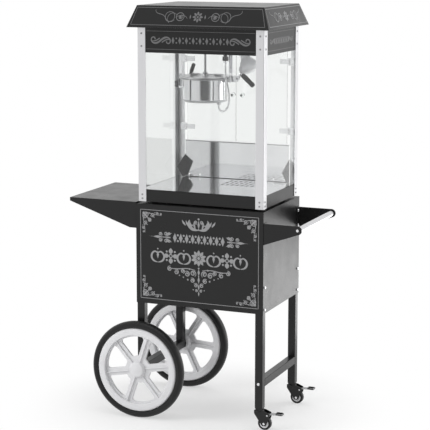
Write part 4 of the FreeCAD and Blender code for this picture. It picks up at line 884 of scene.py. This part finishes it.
def make_grips():
    """Moulded grips of the lid and of the tilting handle."""
    along = Vector((math.sin(LID_GRIP_LEAN), 0, math.cos(LID_GRIP_LEAN)))
    length = 46 * MM
    radius = 7.5 * MM
    lid_grip = turned([(0, 2 * MM), (5 * MM, 2 * MM), (5 * MM, 7 * MM), (6 * MM, 10 * MM), (radius, 14 * MM),
                       (radius, length * 0.6), (radius * 0.97, length - 6 * MM),
                       (radius * 0.78, length - 2 * MM), (radius * 0.4, length - 0.4 * MM), (0, length)], 40)
    piece("lid_knob", placed(lid_grip, LID_GRIP_FOOT, along), black_plastic, "lid", ("lid_handle",))
    along = Vector((math.cos(TILT_GRIP_DROP), 0, -math.sin(TILT_GRIP_DROP)))
    start = TILT_GRIP_BEND + along * 10 * MM
    length = 62 * MM
    radius = 9.5 * MM
    hole = 4.2 * MM
    tilt = turned([(hole, 0), (radius - 2 * MM, 0), (radius - 1.2 * MM, 2 * MM), (radius, 12 * MM),
                   (radius, 30 * MM), (radius - 0.8 * MM, 44 * MM), (radius, 54 * MM),
                   (radius - 0.8 * MM, 59 * MM), (radius - 3.2 * MM, length), (0, length), (0, 50 * MM),
                   (hole, 50 * MM), (hole, 0)], 40)
    piece("tilt_grip_moulded", placed(tilt, start, along), black_plastic, "kettle", ("tilt_grip",))


def make_gland():
    """Pipe stub, six-sided nut and a crimped ferrule under the ceiling."""
    low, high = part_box("conduit_gland")
    at = ((low.x + high.x) / 2, (low.y + high.y) / 2, 0)
    pipe = 7 * MM
    chamfer = 1.5 * MM
    stub = turned([(0, NUT_TOP - MM), (pipe, NUT_TOP - MM), (pipe, high.z), (0, high.z)], 32)
    nut = turned([(0, NUT_LOW), (11 * MM, NUT_LOW), (12 * MM, NUT_LOW + chamfer),
                  (12 * MM, NUT_TOP - chamfer), (11 * MM, NUT_TOP), (0, NUT_TOP)], 6)
    soften(nut, 0.6 * MM)
    crimp = turned([(0, low.z), (5.5 * MM, low.z), (pipe, low.z + 1 * MM), (pipe, low.z + 4 * MM),
                    (6.2 * MM, low.z + 5 * MM), (pipe, low.z + 6 * MM), (pipe, NUT_LOW + MM),
                    (0, NUT_LOW + MM)], 32)
    stub_and_nut = together(placed(stub, at), placed(nut, at))
    piece("gland_nut", stub_and_nut, black_plastic, stands_for=("conduit_gland",))
    piece("gland_ferrule", placed(crimp, at), bright_zinc)


def smooth_route(points):
    """Evenly spaced points on a curve drawn by control points."""
    curve = bpy.data.curves.new("route", "CURVE")
    curve.dimensions = "3D"
    curve.resolution_u = 24
    spline = new_line(curve, points, "NURBS")
    spline.order_u = 3
    spline.use_endpoint_u = True
    mesh = curve_mesh(curve)
    line = [v.co.copy() for v in mesh.vertices]
    bpy.data.meshes.remove(mesh)
    length = sum((b - a).length for a, b in zip(line, line[1:]))
    count = round(length / (LEAD_RIB / 2))
    spaced = [line[0]]
    walked = 0.0
    for a, b in zip(line, line[1:]):
        step = (b - a).length
        while len(spaced) < count and walked + step >= length * len(spaced) / count:
            share = (length * len(spaced) / count - walked) / step
            spaced.append(a.lerp(b, share))
        walked += step
    return spaced + [line[-1]], length


def make_lead():
    """Ribbed conduit from the ceiling gland down and round into the kettle's base."""
    points, length = smooth_route([Vector(place) * MM for place in LEAD_ROUTE])
    curve = bpy.data.curves.new("ribbed_lead", "CURVE")
    curve.dimensions = "3D"
    curve.bevel_depth = LEAD_DIAMETER / 2
    curve.bevel_resolution = 3
    curve.use_fill_caps = True
    for i, point in enumerate(new_line(curve, points).points):
        point.radius = 1.0 if i % 2 == 0 else GROOVE
    mesh = curve_mesh(curve)
    mesh.name = "ribbed_lead"
    mesh.materials.clear()
    mesh.materials.append(conduit_steel)
    mesh.shade_smooth()
    lead = bpy.data.objects.new("ribbed_lead", mesh)
    scene.collection.objects.link(lead)
    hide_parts("kettle_conduit")
    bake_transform(lead)


def make_lamp():
    """Reflector lamp with a frosted face in a ribbed holder."""
    low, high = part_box("lamp_holder")
    along = Vector((math.sin(LAMP_TILT), 0, -math.cos(LAMP_TILT)))
    top = Vector((low.x + 21 * MM, (low.y + high.y) / 2, high.z))
    socket = 19 * MM
    length = 18 * MM
    holder = turned([(0, -4 * MM), (socket - 3 * MM, -4 * MM), (socket - 2 * MM, 6 * MM), (socket, 8 * MM),
                     (socket, 11 * MM), (socket - MM, 11.6 * MM), (socket, 12.2 * MM), (socket, length - MM),
                     (socket - MM, length), (socket - 3 * MM, length), (0, length - MM)], 48)
    rose = turned([(0, -2 * MM), (20 * MM, -2 * MM), (21 * MM, -MM), (21 * MM, 0), (0, 0)], 48)
    piece("lamp_socket", together(placed(holder, top, along), placed(rose, top)), black_plastic,
          stands_for=("lamp_holder",))
    mouth = top + along * length
    neck = 16 * MM
    wide = 40 * MM
    shoulder = 56 * MM
    dome = 20 * MM
    profile = [(0, 0), (neck, 0), (neck, 12 * MM), (neck + 4 * MM, 20 * MM), (wide - 8 * MM, 36 * MM),
               (wide - 2 * MM, 44 * MM), (wide, 50 * MM), (wide, shoulder)]
    for i in range(1, 9):
        angle = math.pi / 2 * i / 8
        profile.append((wide * math.cos(angle), shoulder + dome * math.sin(angle)))
    piece("lamp_globe", placed(turned(profile), mouth, along), lamp_opal, stands_for=("lamp_bulb",))


make_lead()
make_pot()
make_heater()
make_grips()
make_gland()
make_lamp()


# Printed ornament: strokes whose bend and width change along their length
INK = 0.09               # how far a stroke stands up, as a share of its half width
DOT = [0, 0.66, 0.87, 1, 0.87, 0.66, 0]
RADIAN = 57.3            # bend, in degrees, that turns a line round a unit circle


def between(values, share):
    """The value at a share of the way along a list, in straight steps."""
    at = share * (len(values) - 1)
    i = min(int(at), len(values) - 2)
    return values[i] + (values[i + 1] - values[i]) * (at - i)


def stroke(u, v, heading, length, bends=(0, 0), widths=(1, 1)):
    """A line in millimetres: its start, its heading, its bends in degrees a millimetre, its half widths."""
    return (u, v, heading, length, tuple(bends), tuple(widths))


def mirrored(strokes):
    """Strokes turned over from side to side."""
    return [stroke(-u, v, 180 - h, n, [-b for b in bends], widths) for u, v, h, n, bends, widths in strokes]


def upturned(strokes):
    """Strokes turned over from top to bottom."""
    return [stroke(u, -v, -h, n, [-b for b in bends], widths) for u, v, h, n, bends, widths in strokes]


def both(strokes):
    """Strokes and their mirror."""
    return list(strokes) + mirrored(strokes)


def moved(strokes, du, dv, turn=0.0, scale=1.0):
    """Strokes turned in degrees and scaled about the origin, then moved."""
    c = math.cos(math.radians(turn)) * scale
    s = math.sin(math.radians(turn)) * scale
    return [stroke(du + c * u - s * v, dv + s * u + c * v, h + turn, n * scale, [b / scale for b in bends],
                   [w * scale for w in widths]) for u, v, h, n, bends, widths in strokes]


def dot(u, v, radius):
    return stroke(u - radius, v, 0, 2 * radius, widths=[radius * share for share in DOT])


def lozenge(u, v, wide, tall):
    return stroke(u, v - tall / 2, 90, tall, widths=[0, wide / 2, 0])


def ring(u, v, radius, width):
    return stroke(u + radius, v, 90, math.tau * radius, [RADIAN / radius] * 2, [width, width])


def rosette(u, v, radius, petals):
    leaves = [dot(u, v, radius * 0.2)]
    for i in range(petals):
        turn = 360 * i / petals + 90
        widths = [0.2, radius * 0.2, radius * 0.17, 0]
        leaves += moved([stroke(radius * 0.28, 0, 0, radius * 0.72, widths=widths)], u, v, turn)
    return leaves


def volute(u, v, radius, start, hand, heavy=1.0):
    """A line that winds in about a middle; hand is 1 for a left turn and -1 for a right one."""
    angle = math.radians(start)
    return stroke(u + radius * math.cos(angle), v + radius * math.sin(angle), start + 90 * hand, 5.4 * radius,
                  [hand * b / radius for b in (57, 72, 105, 190)], [heavy * w for w in (0.6, 1.5, 1.2, 1.9)])


def frame_lines(half_u, low_v, high_v, width, top_half=None):
    """Four straight lines round a panel, with a narrower top where it tapers."""
    top = half_u if top_half is None else top_half
    rise = high_v - low_v
    slant = math.hypot(half_u - top, rise)
    lean = math.degrees(math.atan2(rise, half_u - top))
    return [stroke(-half_u, low_v, 0, 2 * half_u, widths=[width, width]),
            stroke(-top, high_v, 0, 2 * top, widths=[width, width]),
            stroke(-half_u, low_v, lean, slant, widths=[width, width]),
            stroke(half_u, low_v, 180 - lean, slant, widths=[width, width])]


def corner_filigree():
    """Tendrils that run out from a corner at the origin along +u and down along -v."""
    along = [volute(18, -14, 11, 170, -1), volute(43, -11, 9, 190, 1), volute(62, -8, 6.5, 160, -1, 0.9),
             volute(77, -6, 4.5, 190, 1, 0.8), volute(34, -29, 8, 120, 1, 0.9), dot(31, -6, 2.2),
             dot(53, -4, 1.8), dot(50, -21, 2.0),
             stroke(4, -4, -4, 78, [0, -0.3, 0.3, 0], [1.6, 1.2, 1.0, 0.4])]
    down = [stroke(-v, -u, -90 - h, n, [-b for b in bends], widths) for u, v, h, n, bends, widths in along]
    return along + down + [stroke(4, -4, -45, 34, widths=[0.6, 3.6, 2.6, 0]), dot(36, -36, 2.0)]


def crest():
    """A pair of leaves spread about a bud."""
    side = [stroke(3, -15, -6, 64, [1.0, 1.8, 2.6, 4.5], [2.0, 6.0, 6.0, 1.0]),
            volute(10, 14, 7.5, 250, 1, 1.2), dot(25, 2, 3.0)]
    for i in range(4):
        side.append(stroke(14 + 13 * i, -12 + 4 * i, 78 - 8 * i, 27 - i, [-1.0, 1.0, 4.0], [2.0, 3.8, 0.6]))
    return both(side) + [lozenge(0, 4, 9, 34), dot(0, 26, 4.0), dot(0, -14, 3.5)]


def fleuron():
    """A spear between pairs of volutes, pointing along +u."""
    upper = [volute(-20, 12, 9, 270, -1, 1.2), volute(2, 10, 8, 240, -1, 1.2),
             volute(-36, 13, 6, 300, 1, 1.2), stroke(-44, 17, -40, 26, [1.2, 2.2], [0.8, 2.4, 0.6])]
    spear = stroke(-40, 0, 0, 86, widths=[2.6, 1.6, 1.4, 5.2, 0.6, 0])
    return upper + upturned(upper) + [spear, dot(-30, 0, 4.0)]


def bead_row(half, count, tall):
    """Lozenges with beads between them."""
    row = []
    pitch = 2 * half / (count - 1)
    for i in range(count):
        at = -half + pitch * i
        row.append(lozenge(at, 0, tall * 0.42, tall))
        if i:
            row += [dot(at - pitch / 2, side * tall * 0.3, tall * 0.12) for side in (1, -1)]
    return row


def lyre():
    """Two bold scrolls back to back about a lozenge."""
    side = [stroke(1, -30, 8, 84, [0.4, 2.6, 2.4, 2.6, 9.0], [1.6, 4.0, 4.6, 3.6, 2.8])]
    return both(side) + [lozenge(0, 3, 11, 36), dot(0, 29, 3.6)]


def knot():
    """Four bold petals and four beads about a ring."""
    leaves = [ring(0, 0, 6, 1.8)]
    for i in range(4):
        leaves += moved([stroke(8, 0, 0, 22, widths=[2.0, 8.5, 7.5, 0])], 0, 0, 90 * i)
        leaves += moved([dot(23, 0, 4.2)], 0, 0, 90 * i + 45)
    return leaves


def garland():
    """A broad frieze of lyres and knots about a rosette."""
    side = moved(lyre(), 60, -1, 0, 0.86) + moved(knot(), 113, 0) + moved(lyre(), 166, -1, 0, 0.86)
    return both(side) + rosette(0, 0, 31, 10) + [ring(0, 0, 10, 1.2)]


def pendant():
    """A hanging fan of volutes that narrows to a drop."""
    side = [stroke(14, 30, 12, 108, [-0.2, -0.6, 0.5, 0.3], [1.0, 1.6, 1.6, 1.2]),
            volute(116, 28, 10, 100, -1, 1.3), volute(92, 17, 11, 60, 1, 1.3),
            volute(66, 22, 9, 250, -1, 1.3), volute(48, 12, 12, 40, 1, 1.4),
            volute(24, 16, 13, 230, -1, 1.4), volute(27, -10, 10, 60, 1, 1.4),
            volute(13, -28, 9, 40, 1, 1.2), volute(10, -48, 6, 40, 1, 1.0), dot(44, -8, 3.6), dot(62, 0, 2.8),
            dot(78, 6, 2.4), dot(37, 33, 3.4), dot(22, -44, 2.4)]
    drop = [lozenge(0, 22, 9, 26), lozenge(0, -6, 9, 30), lozenge(0, -34, 7, 24), lozenge(0, -58, 6, 20),
            dot(0, 38, 3.6), dot(0, 8, 2.8)]
    return both(side) + drop


def double_wave():
    """Two parallel waves with curled ends."""
    half = [stroke(0, 0, -38, 74, [0.2, 2.2, 4.2, 6.5, 11.0], [3.4, 3.4, 2.6, 2.0, 2.4]),
            stroke(4, 8, -36, 40, [0.2, 1.8, 4.0], [2.0, 2.2, 0.5])]
    return half + moved(half, 0, 0, 180)


def roof_scroll():
    """Fine rings and tendrils that run out along +u."""
    return [ring(46, 0, 10, 0.9), dot(45, -1, 3.2), ring(73, 0, 12.5, 0.7), volute(46, 0, 6.5, 120, 1, 0.5),
            stroke(27, -4, 60, 34, [-4.4, -2.2, -5.0], [0.5, 0.9, 0.5]),
            stroke(86, -2, 62, 36, [-5.0, -2.0, 4.0, 12.0], [0.6, 0.8, 0.7, 0.6]),
            stroke(56, 4, 60, 46, [-5.5, -4.0, -4.0], [0.5, 0.7, 0.5]),
            stroke(60, -8, -50, 44, [4.5, 3.5, 6.0], [0.5, 0.7, 0.5])]


def print_on(name, strokes, middle, across, upward, ink=print_ink):
    """Lay strokes on a flat face of the object as raised ink."""
    curve = bpy.data.curves.new(name, "CURVE")
    curve.dimensions = "3D"
    curve.bevel_depth = 1.0
    curve.bevel_resolution = 1
    curve.use_fill_caps = True
    for u, v, heading, length, bends, widths in strokes:
        steps = max(6, min(40, int(length / 2.5)))
        if max(map(abs, bends)) < 0.01:
            steps = len(widths) - 1
        spline = curve.splines.new("POLY")
        spline.points.add(steps)
        angle = math.radians(heading)
        for i, point in enumerate(spline.points):
            share = i / steps
            point.co = (u * MM, v * MM, 0, 1)
            point.radius = max(between(widths, share), 0.05) * MM
            angle += math.radians(between(bends, share)) * length / steps / 2
            u += math.cos(angle) * length / steps
            v += math.sin(angle) * length / steps
            angle += math.radians(between(bends, share)) * length / steps / 2
    bm = curve_shape(curve)
    out = Vector(across).cross(upward)
    turn = Matrix((across, upward, out)).transposed().to_4x4()
    bm.transform(Matrix.Translation(middle) @ turn @ Matrix.Diagonal((1, 1, INK, 1)))
    bmesh.ops.recalc_face_normals(bm, faces=bm.faces[:])
    piece(name, bm, ink)


PRINT_HEIGHT = 629 * MM  # the middle of the front panel's print


def print_front_panel():
    """Frame, corner tendrils, crest, beads, frieze and pendant on the cart's front."""
    low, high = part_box("cart_front_panel")
    middle = Vector(((low.x + high.x) / 2, low.y, PRINT_HEIGHT))
    half_u = 236.5
    half_v = 169
    inset = 6
    lines = frame_lines(half_u, -half_v, half_v, 0.9)
    tendrils = moved(corner_filigree(), -half_u + inset, half_v - inset)
    lines += both(tendrils + upturned(tendrils))
    lines += moved(crest(), 0, 121)
    lines += moved(bead_row(96, 9, 36), 0, 70)
    lines += both(moved(fleuron(), 154, 70))
    lines += moved(garland(), 0, 0)
    lines += moved(pendant(), 0, -76)
    print_on("front_panel_print", lines, middle, X_AXIS, Z_AXIS)


def print_header():
    """Two rules, a row of beads and a wave at each end, on three sides."""
    low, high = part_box("header_band")
    middle = (low + high) / 2
    rule = 33
    for name, side, across, half, inset, scale in (("front", (middle.x, low.y), X_AXIS, 214, 58, 1.0),
                                                   ("right", (high.x, middle.y), Y_AXIS, 145, 52, 0.65),
                                                   ("left", (low.x, middle.y), -Y_AXIS, 145, 52, 0.65)):
        lines = [stroke(-half, v, 0, 2 * half, widths=[0.7, 0.7]) for v in (-rule, rule)]
        lines += both(moved(double_wave(), half - inset, 0, scale=scale))
        lines += bead_row(half * 0.5, 9, 27)
        # The header's print takes the darker ink as painted shade
        print_on("header_" + name + "_print", lines, (*side, middle.z), across, Z_AXIS, shaded_ink)


def print_roof():
    """A tapered frame, scrolls and a rosette on each slope."""
    low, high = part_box("roof_canopy")
    middle = (low + high) / 2
    rim = 3 * MM
    rise = high.z - low.z - rim
    margin = 8
    foot_margin = 17
    top_margin = 35
    # The front and back slopes take the darker ink as painted shade, the sides the plain ink
    for name, out, across, scale, ink in (("front", -Y_AXIS, X_AXIS, 1.5, shaded_ink),
                                          ("right", X_AXIS, Y_AXIS, 1.35, print_ink),
                                          ("back", Y_AXIS, -X_AXIS, 1.5, shaded_ink),
                                          ("left", -X_AXIS, -Y_AXIS, 1.35, print_ink)):
        reach = abs((high - low).dot(out)) / 2
        half = abs((high - low).dot(across)) / 2 / MM
        slope = Z_AXIS * rise - out * ROOF_INSET
        face = Vector((middle.x, middle.y, low.z + rim)) + out * reach + slope / 2
        tall = slope.length / MM / 2
        lines = frame_lines(half - foot_margin, margin - tall, tall - margin, 0.9, half - top_margin)
        lines += both(moved(roof_scroll(), 0, 0, scale=scale))
        lines += rosette(0, 0, 21, 8) + [lozenge(-29, 0, 6, 18), lozenge(29, 0, 6, 18)]
        print_on("roof_" + name + "_print", lines, face, across, slope.normalized(), ink)


print_front_panel()
print_header()
print_roof()


# Finishes of the pieces that keep the frame's own shape
dress(black_coat, "kernel_drawer", "cart_decks", "header_band", "base_tray", "flap_cheeks")
dress(deck_steel, "kettle_hangers", "deck_plate", "serving_flap", "ceiling_plate")
dress(kettle_steel, "tilt_handle")
dress(conduit_steel, "kettle_lid", "lid_flap")
dress(dark_steel, "stirrer", "machine_screws")
dress(bright_zinc, "wheel_axle", "cart_bolts", "rear_hinge_brackets",
      "left_door_fittings", "right_door_fittings", "motor_coupling")
dress(pane_glass, "front_glass", "left_glass", "right_glass", "left_door_glass", "right_door_glass")
dress(black_rubber, "machine_feet")
dress(white_plastic, "caster_stems")
dress(black_plastic, "electric_housings", "lock_knob", "heat_switch", "stir_switch", "light_switch")
dress(motor_paint, "gear_motor")
# Panes show their dark cut edges beside the posts, the doors only along the bottom
PANES = {"front_glass": 1, "left_glass": 0, "right_glass": 0, "left_door_glass": 1, "right_door_glass": 1}
for pane, thin in PANES.items():
    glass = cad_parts[pane]
    glass.visible_shadow = False
    glass.data.materials.append(pane_edge)
    for face in glass.data.polygons:
        cut = abs(face.normal[thin]) < 0.5
        if "door" in pane:
            cut = face.normal.z < -0.5
        face.material_index = 1 if cut else 0

# The doors' knobs are clear, their hinges bright
KNOB_REACH = 60 * MM
FRONT_MIDDLE = sum(corner.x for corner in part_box("front_glass")) / 2
for node in ("left_door_fittings", "right_door_fittings"):
    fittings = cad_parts[node].data
    fittings.materials.append(pane_glass)
    for face in fittings.polygons:
        face.material_index = 1 if abs(face.center.x - FRONT_MIDDLE) < KNOB_REACH else 0


# Stage: a pale floor that fades into the white background, soft lamps and the world
FLOOR_SIZE = 9.0
FLOOR_LIFT = 0.47        # share of the floor that shines by itself for the camera
FADE_NEAR = 0.32
FADE_FAR = 0.76
AMBIENT = 0.55
FRONT_GLOSS = 0.10
BACK_GLOSS = 1.0
FLAG_EDGE = 0.84         # cosines of the angle from the front of the studio where its dark starts and ends
FLAG_CORE = 0.93
FLOOR_GREY = 0.82
MIDDLE = (0.0, 0.0, 0.8)
BOUNCE_AT = (1.3, 2.2, 0.02)
LAMPS = (("key_light", (-3.4, -2.8, 2.2), MIDDLE, 2.2, 2.2, 120.0),
         ("side_light", (3.4, 2.2, 1.6), MIDDLE, 2.6, 2.6, 45.0),
         ("top_light", (0.3, 0.2, 4.2), MIDDLE, 3.0, 3.0, 75.0),
         ("floor_bounce", BOUNCE_AT, (1.3, 2.2, 1.0), 2.6, 2.2, 36.0))


def maths(tree, operation, first, second):
    """One sum on two outputs, or on an output and a number."""
    node = tree.nodes.new("ShaderNodeMath")
    node.operation = operation
    for socket, value in zip(node.inputs, (first, second)):
        if isinstance(value, float):
            socket.default_value = value
        else:
            tree.links.new(value, socket)
    return node.outputs["Value"]


def seen_directly(tree):
    """1 for rays from the camera, from a reflection or through glass, 0 for light that falls on things."""
    path = add_node(tree, "LightPath")
    unlit = maths(tree, "MAXIMUM", path.outputs["Is Camera Ray"], path.outputs["Is Glossy Ray"])
    return maths(tree, "MAXIMUM", unlit, path.outputs["Is Transmission Ray"])


def make_floor():
    """A pale floor that turns white away from the cart."""
    bm = bmesh.new()
    bmesh.ops.create_grid(bm, x_segments=1, y_segments=1, size=FLOOR_SIZE / 2)
    mesh = bpy.data.meshes.new("studio_floor")
    bm.to_mesh(mesh)
    bm.free()
    floor = bpy.data.objects.new("studio_floor", mesh)
    scene.collection.objects.link(floor)
    paint = bpy.data.materials.new("floor_paint")
    paint.use_nodes = True
    tree = paint.node_tree
    tree.nodes.remove(tree.nodes["Principled BSDF"])
    matt = add_node(tree, "BsdfDiffuse", Color=(FLOOR_GREY,) * 3 + (1.0,))
    near = add_node(tree, "BsdfDiffuse", Color=(FLOOR_GREY * (1 - FLOOR_LIFT),) * 3 + (1.0,))
    lift = add_node(tree, "Emission", Strength=FLOOR_LIFT)
    white = add_node(tree, "Emission", Strength=1.0)
    place = add_node(tree, "TexCoord")
    away = tree.nodes.new("ShaderNodeVectorMath")
    away.operation = "LENGTH"
    fade = add_node(tree, "MapRange", From_Min=FADE_NEAR, From_Max=FADE_FAR)
    fade.interpolation_type = "SMOOTHSTEP"
    shine = tree.nodes.new("ShaderNodeAddShader")
    spread = tree.nodes.new("ShaderNodeMixShader")
    show = tree.nodes.new("ShaderNodeMixShader")
    tree.links.new(place.outputs["Object"], away.inputs[0])
    tree.links.new(away.outputs["Value"], fade.inputs["Value"])
    tree.links.new(near.outputs["BSDF"], shine.inputs[0])
    tree.links.new(lift.outputs["Emission"], shine.inputs[1])
    tree.links.new(fade.outputs["Result"], spread.inputs["Fac"])
    tree.links.new(shine.outputs["Shader"], spread.inputs[1])
    tree.links.new(white.outputs["Emission"], spread.inputs[2])
    tree.links.new(seen_directly(tree), show.inputs["Fac"])
    tree.links.new(matt.outputs["BSDF"], show.inputs[1])
    tree.links.new(spread.outputs["Shader"], show.inputs[2])
    tree.links.new(show.outputs["Shader"], tree.nodes["Material Output"].inputs["Surface"])
    mesh.materials.append(paint)


def make_world():
    """White where it is seen straight, a dark front in reflections, plain light for the rest."""
    world = bpy.data.worlds.new("studio")
    world.use_nodes = True
    scene.world = world
    tree = world.node_tree
    back = tree.nodes["Background"]
    back.inputs["Color"].default_value = (1.0, 1.0, 1.0, 1.0)
    path = add_node(tree, "LightPath")
    place = add_node(tree, "TexCoord")
    towards = tree.nodes.new("ShaderNodeVectorMath")
    towards.operation = "DOT_PRODUCT"
    towards.inputs[1].default_value = (math.sin(CAMERA_TURN[2]), -math.cos(CAMERA_TURN[2]), 0.0)
    gloss = add_node(tree, "MapRange", From_Min=FLAG_EDGE, From_Max=FLAG_CORE,
                     To_Min=BACK_GLOSS, To_Max=FRONT_GLOSS)
    glossy = add_node(tree, "Mix", A=AMBIENT)
    direct = add_node(tree, "Mix", B=1.0)
    mirrored_once = maths(tree, "MINIMUM", path.outputs["Glossy Depth"], 1.0)
    bounces = maths(tree, "ADD", path.outputs["Glossy Depth"], path.outputs["Diffuse Depth"])
    unbounced = maths(tree, "LESS_THAN", bounces, 0.5)
    tree.links.new(place.outputs["Generated"], towards.inputs[0])
    tree.links.new(towards.outputs["Value"], gloss.inputs["Value"])
    tree.links.new(mirrored_once, glossy.inputs["Factor"])
    tree.links.new(gloss.outputs["Result"], glossy.inputs["B"])
    tree.links.new(unbounced, direct.inputs["Factor"])
    tree.links.new(glossy.outputs["Result"], direct.inputs["A"])
    tree.links.new(direct.outputs["Result"], back.inputs["Strength"])


def softbox(name, at, aim, width, height, watts):
    """A broad lamp aimed at a point and hidden from the camera."""
    lamp = bpy.data.lights.new(name, "AREA")
    lamp.shape = "RECTANGLE"
    lamp.size = width
    lamp.size_y = height
    lamp.energy = watts
    thing = bpy.data.objects.new(name, lamp)
    thing.location = at
    thing.rotation_euler = (Vector(aim) - Vector(at)).to_track_quat("-Z", "Y").to_euler()
    thing.visible_camera = False
    scene.collection.objects.link(thing)
    return thing


make_floor()
make_world()
lamps = {lamp[0]: softbox(*lamp) for lamp in LAMPS}
lamps["key_light"].visible_glossy = False
lamps["floor_bounce"].visible_diffuse = False
